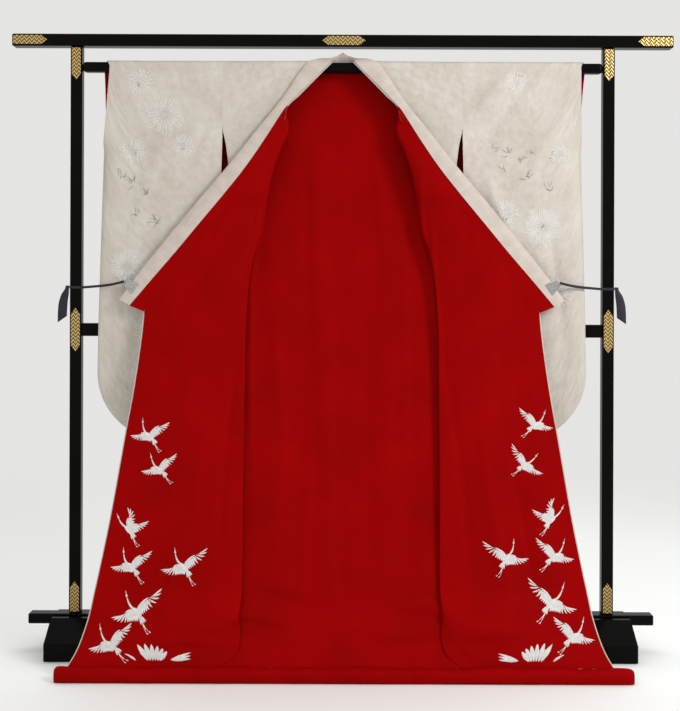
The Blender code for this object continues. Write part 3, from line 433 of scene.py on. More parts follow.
def collar_frames(rows, edge, edge_normals):
    """Seam, inner point, direction across the band, facing direction and width of each station."""
    inner = rows[:, 0:3]
    outer = rows[:, 3:6]
    along = unit(np.gradient((inner + outer) / 2, axis=0))
    across = outer - inner
    width = np.linalg.norm(across, axis=1)
    across = unit(across)
    facing = unit(np.cross(along, across))
    roots = inner - across * rows[:, 6:7]
    root_facing = facing.copy()
    for i, point in enumerate(inner):
        if point[2] < COLLAR_SEAM_TOP:
            _, spot, direction = nearest_on(edge, edge_normals, point)
            share = min((COLLAR_SEAM_TOP - point[2]) / 0.03, 1.0)
            low, high = COLLAR_LAP_Z
            lap = COLLAR_LAP * min(max((spot[2] - low) / (high - low), 0.0), 1.0)
            clear = spot + unit(point - spot) * (COLLAR_SEAM_GAP - lap)
            roots[i] = roots[i] * (1 - share) + clear * share
            root_facing[i] = unit(facing[i] * (1 - share) + direction * share)
    return inner, across, facing, width, roots, root_facing


def collar_ring(inner, across, facing, width, root, root_facing):
    """Section of the folded collar: behind the lining, round the outer edge, back to the inner line."""
    end = width - COLLAR_FOLD
    low = COLLAR_CENTRE - COLLAR_FOLD
    high = COLLAR_CENTRE + COLLAR_FOLD
    path = [(0.0, low), (end * 0.5, low), (end, low), (width, COLLAR_CENTRE)]
    path = np.array(path + [(end, high), (end * 0.5, high), (0.0, high)])
    tangents = unit(np.gradient(path, axis=0))
    sides = np.stack([tangents[:, 1], -tangents[:, 0]], axis=1) * COLLAR_WALL / 2
    outward = path + sides
    inward = (path - sides)[::-1]
    behind = [inner + u * across + w * facing for u, w in outward]
    within = [inner + u * across + w * facing for u, w in inward]
    ends = [root + root_facing * (low - COLLAR_WALL / 2), root + root_facing * (low + COLLAR_WALL / 2)]
    return np.array(ends[:1] + behind + within + ends[1:])


# Dense rows of the visual cloth
SHOULDER_STEPS = 7
BODY_ROWS = 150

# Creases of the body: side, across and up at start and end, width, height; all layers follow
BODY_CREASES = (
    (-1, 0.262, 1.120, 0.245, 0.560, 0.0085, 0.0030),
    (-1, 0.228, 1.300, 0.262, 0.980, 0.0080, 0.0030),
    (-1, 0.285, 0.900, 0.330, 0.300, 0.0130, -0.0030),
    (-1, 0.190, 1.000, 0.160, 0.500, 0.0140, 0.0022),
    (-1, 0.090, 0.640, 0.100, 0.180, 0.0130, 0.0022),
    (-1, 0.110, 1.380, 0.085, 0.900, 0.0140, -0.0020),
    (-1, 0.360, 0.700, 0.430, 0.240, 0.0160, 0.0028),
    (-1, 0.430, 0.540, 0.480, 0.150, 0.0130, -0.0024),
    (-1, 0.150, 0.140, 0.330, 0.165, 0.0100, 0.0036),
    (-1, 0.300, 0.092, 0.480, 0.105, 0.0080, 0.0030),
    (-1, 0.060, 0.210, 0.220, 0.235, 0.0110, 0.0028),
    (-1, 0.500, 0.110, 0.620, 0.095, 0.0080, 0.0026),
    (1, 0.250, 1.240, 0.272, 0.780, 0.0085, 0.0030),
    (1, 0.215, 1.330, 0.240, 1.060, 0.0080, 0.0028),
    (1, 0.285, 0.860, 0.350, 0.260, 0.0140, -0.0030),
    (1, 0.170, 1.120, 0.185, 0.420, 0.0140, 0.0024),
    (1, 0.080, 0.900, 0.070, 0.300, 0.0150, -0.0018),
    (1, 0.100, 1.420, 0.125, 1.000, 0.0130, 0.0020),
    (1, 0.375, 0.660, 0.440, 0.200, 0.0160, 0.0028),
    (1, 0.450, 0.620, 0.520, 0.160, 0.0130, -0.0024),
    (1, 0.130, 0.185, 0.320, 0.160, 0.0110, 0.0036),
    (1, 0.070, 0.105, 0.260, 0.120, 0.0090, 0.0030),
    (1, 0.330, 0.115, 0.500, 0.135, 0.0090, 0.0030),
    (1, 0.520, 0.090, 0.640, 0.104, 0.0080, 0.0024),
)

# Creases of one sheet of a sleeve or shoulder: side, face, start, end, width, height
SLEEVE_CREASES = (
    (-1, -1, 0.594, 1.560, 0.520, 1.400, 0.0090, 0.0028),
    (-1, -1, 0.655, 1.500, 0.560, 1.330, 0.0110, -0.0026),
    (-1, -1, 0.375, 1.500, 0.470, 1.290, 0.0130, -0.0034),
    (-1, -1, 0.480, 1.480, 0.610, 1.120, 0.0150, 0.0030),
    (-1, -1, 0.360, 1.180, 0.430, 0.900, 0.0150, 0.0024),
    (-1, -1, 0.560, 1.040, 0.590, 0.720, 0.0150, -0.0026),
    (-1, -1, 0.430, 0.830, 0.560, 0.760, 0.0100, 0.0022),
    (-1, -1, 0.620, 0.980, 0.640, 0.800, 0.0090, 0.0022),
    (1, -1, 0.480, 1.640, 0.378, 1.520, 0.0110, 0.0034),
    (1, -1, 0.540, 1.620, 0.400, 1.440, 0.0140, -0.0026),
    (1, -1, 0.640, 1.560, 0.520, 1.340, 0.0130, 0.0026),
    (1, -1, 0.400, 1.360, 0.480, 1.120, 0.0140, 0.0026),
    (1, -1, 0.580, 1.220, 0.620, 0.860, 0.0130, -0.0026),
    (1, -1, 0.420, 1.020, 0.470, 0.760, 0.0140, 0.0024),
    (1, -1, 0.500, 0.800, 0.620, 0.860, 0.0100, 0.0022),
    (-1, 1, 0.420, 1.560, 0.500, 1.120, 0.0160, 0.0030),
    (-1, 1, 0.600, 1.400, 0.560, 0.960, 0.0150, -0.0028),
    (-1, 1, 0.430, 0.980, 0.500, 0.720, 0.0140, 0.0024),
    (1, 1, 0.400, 1.500, 0.450, 1.040, 0.0160, 0.0030),
    (1, 1, 0.560, 1.520, 0.610, 1.060, 0.0150, -0.0026),
    (1, 1, 0.540, 0.980, 0.480, 0.700, 0.0140, 0.0026),
)


def crease_sum(x, z, rows):
    """Height of soft ridges and troughs that run between two points."""
    total = np.zeros(np.shape(x))
    for x1, z1, x2, z2, width, height in rows:
        run = np.array((x2 - x1, z2 - z1))
        length = np.linalg.norm(run)
        along = ((x - x1) * run[0] + (z - z1) * run[1]) / length**2
        bend = 0.35 * width * np.sin(along * 5.0 + x1 * 40.0)
        across = (((x - x1) * run[1] - (z - z1) * run[0]) / length + bend) / width
        fade = window(along, -0.08, 1.08, 0.4)
        total = total + height * np.exp(-(across**2)) * fade
    return total


def ripple(x, z, side):
    """Slight unevenness of hanging silk."""
    wave = np.sin(x * 21.0 + 2.4 * np.sin(z * 3.1 + side) + side * 1.7) * 0.45
    wave = wave + np.sin(z * 9.0 + 3.0 * np.sin(x * 6.0) - side) * 0.30
    wave = wave + np.sin(x * 47.0 + z * 17.0 + side * 0.6) * 0.18
    return wave * 0.0016


def body_relief(points, side):
    """All that moves the body's layers forward: soft folds, creases, unevenness."""
    x = points[..., 0]
    z = points[..., 2]
    rows = [row[1:] for row in BODY_CREASES if row[0] == side]
    fade = window(z, PANEL_BOTTOM, 1.56, 0.10) * np.clip(x / 0.03, 0.0, 1.0)
    fade = fade * (1 - np.exp(-(((x - 0.58) / 0.07) ** 2) - ((z - 1.02) / 0.08) ** 2))
    low = 1.3 + 1.1 * np.clip((0.5 - z) / 0.4, 0.0, 1.0)
    return drape(points, side) + (crease_sum(x, z, rows) * low + ripple(x, z, side)) * fade


def dense_shoulder():
    """Rows over the rounded shoulder of the rail."""
    flat = HANG_HALF - HANG_ROUND
    rows = [(SEAM_GAP, HANG_TOP, 0.0)]
    for turn in np.linspace(0.0, math.pi / 2, SHOULDER_STEPS):
        rows.append((flat + HANG_ROUND * math.sin(turn), HANG_TOP - HANG_ROUND * (1 - math.cos(turn)), turn))
    return rows


def dense_heights():
    """Heights of the visual rows of the body."""
    return np.linspace(HANG_TOP - HANG_ROUND - 0.004, PANEL_BOTTOM, BODY_ROWS)


def near_rail(z, depth):
    """Depth just under the rounded shoulder, where the cloth leaves the rail."""
    share = float(np.clip((z - 1.640) / (HANG_TOP - HANG_ROUND - 1.640), 0.0, 1.0))
    return depth * (1 - share) + math.copysign(HANG_HALF, depth) * share


def back_surface(side):
    """Dense middle surface of half a back, centre to side seam."""
    rows = []
    for depth, height, turn in dense_shoulder():
        plan = np.stack([np.linspace(0.0, SLEEVE_SEAM_X, 61), np.zeros(61)], axis=1)
        rows.append(placed(plan, depth, height, turn, 1))
    for z in dense_heights():
        end = np.array((BACK.at(z, "side_x"), BACK.at(z, "side_off")))
        pull = end[0]
        arrive = heading(TURNS.at(z, "back_side")) * (pull if end[1] < 0.001 else 2.2 * end[1] + 0.02)
        plan = hermite(np.zeros(2), end, np.array((pull, 0.0)), arrive, 61)
        rows.append(placed(plan, near_rail(z, float(BACK.at(z, "y"))), z, math.pi / 2, -1))
    points = np.array(rows)
    points[..., 1] -= body_relief(points, side)
    return points


def front_surface(side):
    """Dense middle surface of a front and its okumi, side seam to free edge."""
    rows = []
    for depth, height, turn in dense_shoulder():
        rows.append(placed(front_plan(height, SLEEVE_SEAM_X), -depth, height, turn, -1))
    for z in dense_heights():
        depth, reach = front_depth(z)
        rows.append(placed(front_plan(z, reach), near_rail(z, float(depth)), z, math.pi / 2, -1))
    points = np.array(rows)
    points[..., 1] -= body_relief(points, side)
    return points


def body_surfaces(side):
    """Back and front of one side with their normals, which agree along the side seam."""
    back = back_surface(side)
    front = front_surface(side)
    back_normals = surface_normals(back)
    front_normals = surface_normals(front)
    first = SHOULDER_STEPS + 1 + int(np.argmax(dense_heights() < SIDE_SEAM_TOP))
    shared = unit(back_normals[first:, -1] + front_normals[first:, 0])
    back_normals[first:, -1] = shared
    front_normals[first:, 0] = shared
    return back, back_normals, front, front_normals


def new_piece(name, vertices, faces, uvs, material, smooth=True):
    """Mesh object in the row frame, riding on the part."""
    data = bpy.data.meshes.new(name)
    data.from_pydata([tuple(v) for v in vertices], [], [tuple(f) for f in faces])
    data.update()
    if uvs is not None:
        layer = data.uv_layers.new(name="UVMap")
        flat = np.zeros(len(data.loops), dtype=int)
        data.loops.foreach_get("vertex_index", flat)
        layer.data.foreach_set("uv", np.asarray(uvs, dtype=np.float32)[flat].ravel())
    made = bpy.data.objects.new(name, data)
    bpy.context.scene.collection.objects.link(made)
    data.materials.append(material)
    if smooth:
        data.polygons.foreach_set("use_smooth", [True] * len(data.polygons))
    made.location = (0.0, STAND_Y, 0.0)
    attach(made, "root")
    return made


def cloth_piece(name, material, points, normals, near, far, replaced, used=None, ids=None):
    """Thin closed sheet between two distances from a grid; its map is in metres."""
    rows, columns = points.shape[:2]
    if used is None:
        used = np.ones((rows - 1, columns - 1), dtype=bool)
    if ids is None:
        ids = np.arange(rows * columns).reshape(rows, columns)
    across = arc_lengths(points)
    down = arc_lengths(points.transpose(1, 0, 2)).T
    flat_points = points.reshape(-1, 3)
    flat_normals = normals.reshape(-1, 3)
    cells = []
    for i, j in np.argwhere(used):
        cell = [ids[i, j], ids[i, j + 1], ids[i + 1, j + 1], ids[i + 1, j]]
        cell = [k for n, k in enumerate(cell) if k not in cell[:n]]
        if len(cell) > 2:
            cells.append(cell)
    taken = sorted({k for cell in cells for k in cell})
    number = {k: n for n, k in enumerate(taken)}
    count = len(taken)
    vertices = np.concatenate([flat_points[taken] + flat_normals[taken] * d for d in (near, far)])
    sign = 1 if far > near else -1
    faces = []
    directed = set()
    for cell in cells:
        cell = [number[k] for k in cell][::sign]
        faces.append(cell)
        faces.append([k + count for k in reversed(cell)])
        directed |= {(cell[k], cell[(k + 1) % len(cell)]) for k in range(len(cell))}
    for a, b in directed:
        if (b, a) not in directed:
            faces.append((b, a, a + count, b + count))
    uv = np.stack([across.reshape(-1)[taken], down.reshape(-1)[taken]], axis=1)
    made = new_piece(name, vertices, faces, np.concatenate([uv, uv]), material)
    edge = made.modifiers.new("Rim", "EDGE_SPLIT")
    edge.split_angle = math.radians(50)
    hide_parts(*replaced)
    area = 0.0
    for cell in cells:
        corner = [flat_points[k] for k in cell]
        for k in range(1, len(corner) - 1):
            area += np.linalg.norm(np.cross(corner[k] - corner[0], corner[k + 1] - corner[0])) / 2
    return made, area


def word_of(side):
    return "left" if side < 0 else "right"


# Sleeves
def relief_of_sleeve(x, z, face, side):
    """Creases and unevenness of one sheet, none at the seams and over the rail."""
    rows = [row[2:] for row in SLEEVE_CREASES if row[:2] == (side, face)]
    inner = np.clip((x - SLEEVE.at(z, "x_in")) / 0.03, 0.0, 1.0)
    top = np.clip((1.642 - z) / 0.03, 0.0, 1.0)
    waves = ripple(x + 0.7 * face, z, side) * 1.1
    small = np.sin(z * 90.0 + 4.0 * np.sin(x * 16.0)) * np.exp(-(((z - 0.69) / 0.05) ** 2)) * 0.0012
    return (crease_sum(x, z, rows) * 1.9 + waves + small) * inner * top


def sleeve_depths(x, z, face, side):
    """Depth of a sleeve's front (-1) or back (1) sheet, closing to the sewn edges."""
    x_out = SLEEVE.at(z, "x_out")
    front = SLEEVE.at(z, "front")
    back = SLEEVE.at(z, "back")
    centre_x = x_out - SLEEVE_ROUND
    centre_z = SLEEVE_BOTTOM + SLEEVE_ROUND
    to_side = x_out - x + np.maximum(z - CUFF_END_Z, 0.0)
    to_edge = np.minimum(to_side, z - SLEEVE_BOTTOM)
    corner = (x > centre_x) & (z < centre_z)
    to_edge = np.where(corner, SLEEVE_ROUND - np.hypot(x - centre_x, z - centre_z), to_edge)
    share = np.clip(to_edge / SLEEVE_EDGE, 0.0, 1.0)
    half = (back - front) / 2
    depth = (front + back) / 2 + face * half * np.sqrt(np.maximum(1 - (1 - share) ** 2, 0.0))
    moved = np.zeros(np.shape(depth))
    for fold_side, x1, z1, x2, z2, width, height in SLEEVE_FOLDS:
        if fold_side == side:
            run = np.array((x2 - x1, z2 - z1))
            length = np.linalg.norm(run)
            along = ((x - x1) * run[0] + (z - z1) * run[1]) / length**2
            across = ((x - x1) * run[1] - (z - z1) * run[0]) / length / width
            moved = moved + height * np.exp(-(across**2)) * window(along, 0.0, 1.0, 0.35)
    near_top = np.clip((z - 1.640) / 0.008, 0.0, 1.0)
    straight = face * HANG_HALF
    depth = depth * (1 - near_top) + straight * near_top
    return depth - (moved + relief_of_sleeve(x, z, face, side)) * share


# How far the open cuff is drawn in on its front sheet and stands out on its back sheet
CUFF_SHIFT = {-1: (-0.014, 0.008), 1: (0.001, 0.019)}


def cuff_shift(x, z, amount):
    """Shift across near the open cuff, most at its top."""
    near_edge = np.clip((x - 0.45) / 0.22, 0.0, 1.0) ** 2
    return amount * near_edge * np.clip((z - 1.43) / 0.20, 0.0, 1.0)


def slit_cover(x, z, face):
    """The back sheet reaches in behind the slit under the arm, so its lining shows there."""
    near_body = np.clip(1 - (x - SLEEVE.at(z, "x_in")) / 0.06, 0.0, 1.0)
    return -0.011 * near_body * window(z, 1.22, 1.478, 0.035) * (face > 0)


def sleeve_points(side):
    """Front bottom, over the rail, back bottom: dense middle surface of a sleeve."""
    flats = np.linspace(0.0, 1.0, 24)
    turns = np.radians(np.linspace(0.0, 90.0, 26))[1:]

    def across(z):
        x_in = SLEEVE.at(z, "x_in") + SEAM_GAP
        start = SLEEVE.at(z, "x_out") - SLEEVE_ROUND
        inner = x_in + (start - x_in) * flats
        return np.concatenate([inner, start + SLEEVE_ROUND * np.sin(turns)])

    rows = []
    for z in np.linspace(1.6455, 1.34, 34):
        rows.append((across(z), np.full(len(flats) + len(turns), z)))
    for share in 1 - (1 - np.linspace(0.0, 1.0, 74)[1:]) ** 1.45:
        level = np.full(len(flats) + len(turns), 1.34)
        for _ in range(8):
            xs = np.array([across(z)[j] for j, z in enumerate(level)])
            low = sleeve_bottom(xs, SLEEVE.at(level, "x_out"))
            level = 1.34 + share * (low - 1.34)
        rows.append((np.array([across(z)[j] for j, z in enumerate(level)]), level))
    sheets = []
    for face in (-1, 1):
        sheet = np.array([np.stack([x, sleeve_depths(x, z, face, side), z], axis=1) for x, z in rows])
        x, z = sheet[..., 0].copy(), sheet[..., 2]
        amount = CUFF_SHIFT[side][0 if face < 0 else 1]
        sheet[..., 0] = x + cuff_shift(x, z, amount) + slit_cover(x, z, face)
        sheets.append(sheet)
    over = []
    xs = across(1.66)
    flat = HANG_HALF - HANG_ROUND
    steps = np.linspace(-90.0, 0.0, 7)
    for hand in (-1, 1):
        for degrees in steps[:: -hand]:
            turn = math.radians(degrees)
            y = hand * (flat - HANG_ROUND * math.sin(turn))
            z = HANG_TOP - HANG_ROUND * (1 - math.cos(turn))
            share = (len(over) + 1) / 15
            first, last = CUFF_SHIFT[side]
            out = xs + cuff_shift(xs, z, first + (last - first) * share)
            over.append(np.stack([out, np.full(len(xs), y), np.full(len(xs), z)], axis=1))
    return np.concatenate([sheets[0][::-1], np.array(over), sheets[1]])


def welded_ids(grid):
    """Numbers for the points of a grid, equal where points coincide."""
    flat = np.round(grid.reshape(-1, 3), 5)
    _, first, inverse = np.unique(flat, axis=0, return_index=True, return_inverse=True)
    return first[inverse.reshape(-1)].reshape(grid.shape[:2])


def mesh_normals(points, ids):
    """Normals of a welded grid, weighed by the area of its cells."""
    flat = points.reshape(-1, 3)
    a, b = flat[ids[:-1, :-1]], flat[ids[1:, :-1]]
    c, d = flat[ids[1:, 1:]], flat[ids[:-1, 1:]]
    normal = np.cross(c - a, d - b)
    total = np.zeros(flat.shape)
    for corner in (ids[:-1, :-1], ids[1:, :-1], ids[1:, 1:], ids[:-1, 1:]):
        np.add.at(total, corner.reshape(-1), normal.reshape(-1, 3))
    return unit(total[ids.reshape(-1)]).reshape(points.shape)


def make_sleeve(side):
    """Outer sleeve and the lining inside it."""
    word = word_of(side)
    points = sleeve_points(side)
    ids = welded_ids(points)
    normals = mesh_normals(points, ids)
    if normals[len(points) // 2, 3, 2] < 0:
        normals = -normals
    depth = np.abs(points[:, :, 1] - points[::-1, :, 1])
    above = points[:, :, 2] > 1.5
    wide = above | (depth > 0.0085)
    used = wide[:-1, :-1] & wide[1:, :-1] & wide[1:, 1:] & wide[:-1, 1:]
    points = on_side(points, side)
    normals = on_side(normals, side)
    outer, area = cloth_piece(
        f"sleeve_cloth_{word}", looks["silk"], points, normals, CLOTH_NEAR, CLOTH_FAR,
        [f"sleeve_{word}"], ids=ids,
    )
    lining, area = cloth_piece(
        f"sleeve_lining_cloth_{word}", looks["red"], points, normals, -CLOTH_NEAR, -CLOTH_FAR,
        [f"sleeve_lining_{word}"], used=used, ids=ids,
    )


# Body
def layers(stem, places, directions, side, used, lining_trim=0.0):
    """Outer cloth and lining of one panel."""
    word = word_of(side)
    places = on_side(places, side)
    directions = on_side(directions, side)
    outer, area = cloth_piece(
        f"{stem}_cloth_{word}", looks["silk"], places, directions, -CLOTH_NEAR, -CLOTH_FAR,
        [f"{stem}_{word}"], used=used,
    )
    if lining_trim:
        lengths = arc_lengths(places)
        below = np.clip((0.962 - places[:, -1, 2]) / 0.02, 0.0, 1.0)
        wanted = [row * (1 - share * lining_trim / row[-1]) for row, share in zip(lengths, below)]
        places, directions = pick(places, directions, lengths, wanted)
    lining, area = cloth_piece(
        f"{stem}_lining_cloth_{word}", looks["red"], places, directions, CLOTH_NEAR, CLOTH_FAR,
        [f"{stem}_lining_{word}"], used=used,
    )


def make_back(side, points, normals):
    """Half a back with its lining."""
    lengths = arc_lengths(points)
    notch = NECK_HALF / SLEEVE_SEAM_X
    shares = np.concatenate([np.linspace(0.0, notch, 19), np.linspace(notch, 1.0, 43)[1:]])
    wanted = [shares * row[-1] for row in lengths]
    places, directions = pick(points, normals, lengths, wanted)
    used = np.ones((len(places) - 1, len(shares) - 1), dtype=bool)
    used[:SHOULDER_STEPS, :18] = False
    layers("back", places, directions, side, used)


def make_front(side, points, normals):
    """A front and its okumi with their linings; returns the free edge and its normals."""
    lengths = arc_lengths(points)
    heights = np.concatenate([np.full(SHOULDER_STEPS + 1, HANG_TOP), dense_heights()])
    wanted = []
    tips = []
    for z, row in zip(heights, lengths):
        fold = row[40]
        wedge = okumi_width(z)
        end = row[-1] - (wedge if z < OKUMI_LAP_Z else max(wedge - OKUMI_LAP, 0.0))
        under = fold * (1 - (1 - np.linspace(0.0, 1.0, 26)) ** 1.6)
        over = fold + (end - fold) * np.linspace(0.0, 1.0, 52) ** 1.35
        wanted.append(np.concatenate([under, over[1:]]))
        start = row[-1] - max(wedge, 0.0002)
        tips.append(start + (row[-1] - start) * np.linspace(0.0, 1.0, 26))
    places, directions = pick(points, normals, lengths, wanted)
    used = np.ones((len(places) - 1, places.shape[1] - 1), dtype=bool)
    first_lapel = int(np.argmax(heights < LAPEL_TOP_Z))
    used[:first_lapel, 25:] = False
    layers("front", places, directions, side, used)
    first = int(np.argmax(np.array([okumi_width(z) for z in heights]) > 0.0)) - 1
    places, directions = pick(points[first:], normals[first:], lengths[first:], tips[first:])
    used = np.ones((len(places) - 1, 25), dtype=bool)
    layers(
        "okumi", places, directions, side, used, lining_trim=0.0034,
    )
    return points[first_lapel:, -1], normals[first_lapel:, -1]


def collar_rows(side):
    """Stations of half a collar, following the folds and creases of the front."""
    rows = np.array(COLLAR)
    for row in rows:
        for start in (0, 3):
            spot = row[start : start + 3]
            whole = float(body_relief(spot, side))
            row[start + 1] -= whole if spot[2] < 1.3 else whole - float(drape(spot, side))
    return rows


def lofted(name, material, rings, replaced, caps=True):
    """Closed skin over rings of points; returns it with the length along and round it."""
    rings = np.array(rings)
    count, size = rings.shape[:2]
    around = np.concatenate([[0.0], np.cumsum(np.linalg.norm(np.diff(rings.mean(axis=0), axis=0), axis=1))])
    middle = rings.mean(axis=1)
    along = np.concatenate([[0.0], np.cumsum(np.linalg.norm(np.diff(middle, axis=0), axis=1))])
    faces = []
    for i in range(count - 1):
        for j in range(size):
            k = (j + 1) % size
            faces.append((i * size + j, i * size + k, (i + 1) * size + k, (i + 1) * size + j))
    if caps:
        faces.append(tuple(range(size))[::-1])
        faces.append(tuple((count - 1) * size + j for j in range(size)))
    uv = np.stack(np.meshgrid(around, along), axis=2).reshape(-1, 2)
    made = new_piece(name, rings.reshape(-1, 3), faces, uv, material)
    edge = made.modifiers.new("Rim", "EDGE_SPLIT")
    edge.split_angle = math.radians(50)
    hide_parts(*replaced)
    return made, along[-1]


def skin_area(rings):
    """Half the area of a closed skin, which is the area of the thin cloth in it."""
    rings = np.array(rings)
    total = 0.0
    size = rings.shape[1]
    for j in range(size):
        a, b = rings[:-1, j], rings[:-1, (j + 1) % size]
        c, d = rings[1:, (j + 1) % size], rings[1:, j]
        total += np.linalg.norm(np.cross(c - a, d - b), axis=1).sum() / 2
    return total / 2


def make_collar(edges):
    """Over-collar round the neck, the collar's ends and their linings."""
    halves = {side: through(collar_rows(side), 301) for side in (-1, 1)}
    frames = {side: collar_frames(halves[side], *edges[side]) for side in (-1, 1)}
    seam = np.array(COLLAR[CROSS_SEAM_ROW][0:3])
    cut = int(np.argmin(np.linalg.norm(halves[1][:, 0:3] - seam, axis=1)))
    rings = []
    for side in (-1, 1):
        made = [on_side(collar_ring(*(part[i] for part in frames[side])), side) for i in range(cut + 1)]
        rings = rings + (made[::-1] if side < 0 else made[1:])
    piece, length = lofted("over_collar_cloth", looks["collar"], rings, ["over_collar"])
    area = skin_area(rings)
    sizes["over_collar_cloth"] = (length, area)
    for side in (-1, 1):
        word = word_of(side)
        half = frames[side]
        rings = [on_side(collar_ring(*(part[i] for part in half)), side) for i in range(cut, 301)]
        rings[0] = rings[0] + unit(rings[1].mean(axis=0) - rings[0].mean(axis=0)) * 2 * SEAM_GAP
        name = f"collar_cloth_{word}"
        piece, length = lofted(name, looks["collar"], rings, [f"collar_{word}"])
        area = skin_area(rings)
        sizes[name] = (length, area)
        inner, across, facing, width, roots, root_facing = half
        picks = [i for i in range(301) if halves[side][i, 2] < LAPEL_TOP_Z + 0.002]
        points = []
        normals = []
        for i in picks:
            tucked = inner[i] + (width[i] - COLLAR_FOLD) / 2 * across[i]
            share = np.linspace(0.0, 1.0, 6)[:, None]
            first = roots[i] * (1 - share) + inner[i] * share
            second = inner[i] * (1 - share) + tucked * share
            turned = unit(root_facing[i] * (1 - share) + facing[i] * share)
            points.append(np.concatenate([first, second[1:]]))
            normals.append(np.concatenate([turned, np.tile(facing[i], (5, 1))]))
        strip, area = cloth_piece(
            f"collar_lining_cloth_{word}", looks["red"], on_side(np.array(points), side),
            on_side(np.array(normals), side), CLOTH_NEAR, CLOTH_FAR, [f"collar_lining_{word}"],
        )
        sizes[strip.name] = (0.0, area)


def make_hem():
    """Padded roll along the hem, flat where it rests, with slight swellings."""
    rings = []
    for t in np.linspace(-1.0, 1.0, 220):
        x = HEM_HALF * math.sin(t * math.pi / 2) * 0.35 + HEM_HALF * t * 0.65
        close = min(1.0, (HEM_HALF - abs(x)) / 0.018)
        x += 0.018 * max(t, 0.0) ** 6
        swell = 0.55 + 0.45 * math.sqrt(max(1 - (1 - close) ** 2, 0.0))
        plump = 1 + 0.07 * math.sin(x * 23) * math.sin(x * 9 + 0.6) + 0.025 * math.sin(x * 61 + 2.0)
        half = HEM_WIDTH / 2 * swell * plump
        flat = HEM_FLAT * swell
        wave = 1 + 0.06 * math.sin(x * 27) * math.sin(x * 11 + 1.0)
        top = (HEM_HEIGHT + 0.0028) * (0.6 + 0.4 * swell) * wave
        ring = [(x, HEM_Y - flat, 0.0), (x, HEM_Y, 0.0), (x, HEM_Y + flat, 0.0)]
        for degrees in np.linspace(-25, 205, 22):
            turn = math.radians(degrees)
            pucker = 1 + 0.014 * math.sin(x * 118 + math.sin(x * 31) * 2) * max(math.sin(turn), 0.0) ** 2
            y = HEM_Y + half * math.cos(turn)
            z = top * (0.46 + 0.54 * math.sin(turn)) * pucker
            ring.append((x, y, z))
        rings.append(np.array(ring))
    piece, _ = lofted("hem_roll_padded", looks["hem"], rings, ["hem_roll"])


def make_ribbon(side, start):
    """Ribbon from the clip round the post, and its hanging tail."""
    word = word_of(side)
    near = POST_HALF_X + 0.0012
    far = POST_HALF_Y + 0.0012
    level = 1.021
    path = [
        (start[0], start[1], start[2] - 0.002),
        (start[0] + 0.05, start[1] + 0.02, 1.0275),
        (POST_X - near - 0.006, -far - 0.006, level),
        (POST_X - near + 0.003, -far, level),
        (POST_X + near - 0.003, -far, level),
        (POST_X + near - 0.0008, -far + 0.0008, level),
        (POST_X + near, -far + 0.003, level),
        (POST_X + near, far - 0.003, level),
        (POST_X + near - 0.0008, far - 0.0008, level),
        (POST_X + near - 0.003, far, level),
        (POST_X - near + 0.003, far, level),
        (POST_X - near + 0.0008, far - 0.0008, level),
        (POST_X - near, far - 0.003, level),
        (POST_X - near, -far + 0.006, level),
    ]
    path = through(path, 90)
    tangents = unit(np.gradient(path, axis=0) * np.array((1.0, 1.0, 0.0)))
    sides = np.stack([-tangents[:, 1], tangents[:, 0], np.zeros(len(path))], axis=1)
    ups = np.linspace(-0.0035, 0.0035, 5)
    points = np.array([[p + np.array((0.0, 0.0, up)) for up in ups] for p in path])
    normals = np.array([[out] * 5 for out in sides])
    band, area = cloth_piece(
        f"ribbon_band_{word}", looks["ribbon"], on_side(points, side),
        on_side(normals, side), -0.0006, 0.0006, [f"ribbon_{word}"],
    )
    sizes[band.name] = (0.0, area)
    rows = (
        (1.0260, 1.0255, 0.7746, 0.0050, -0.0125),
        (1.0180, 1.0165, 0.7752, 0.0056, -0.0140),
        (1.002, 1.000, 0.7800, 0.0105, -0.0175),
        (0.980, 0.978, 0.7845, 0.0125, -0.0190),
        (0.955, 0.953, 0.7862, 0.0130, -0.0205),
        (0.940, 0.922, 0.7870, 0.0130, -0.0195),
    )
    grid = []
    for z_left, z_right, middle, half, depth in through(rows, 30):
        line = []
        for share in np.linspace(-1.0, 1.0, 7):
            z = z_left + (z_right - z_left) * (share + 1) / 2
            bend = -0.0015 * (1 - share**2) + 0.0002 * share
            line.append((middle + half * share, depth + bend, z))
        grid.append(line)
    points = on_side(np.array(grid), side)
    normals = surface_normals(points)
    tail, area = cloth_piece(
        f"ribbon_end_{word}", looks["ribbon"], points, normals, -0.0006, 0.0006,
        [f"ribbon_tail_{word}"],
    )
    sizes[tail.name] = (0.0, area)


def clip_start(side, edge_line):
    """Where the ribbon leaves the clip."""
    rows = np.array(COLLAR)
    for row in rows:
        for start in (0, 3):
            if row[start + 2] < 1.3:
                row[start + 1] -= float(drape(row[start : start + 3], side))
    rows = through(rows, 61)
    inner, across, facing, width, _, _ = collar_frames(rows, *edge_line)
    i = int(np.argmin(np.abs(rows[:, 5] - 1.030)))
    edge = inner[i] + across[i] * (width[i] + COLLAR_WALL / 2)
    return edge + across[i] * 0.0195 + facing[i] * COLLAR_CENTRE


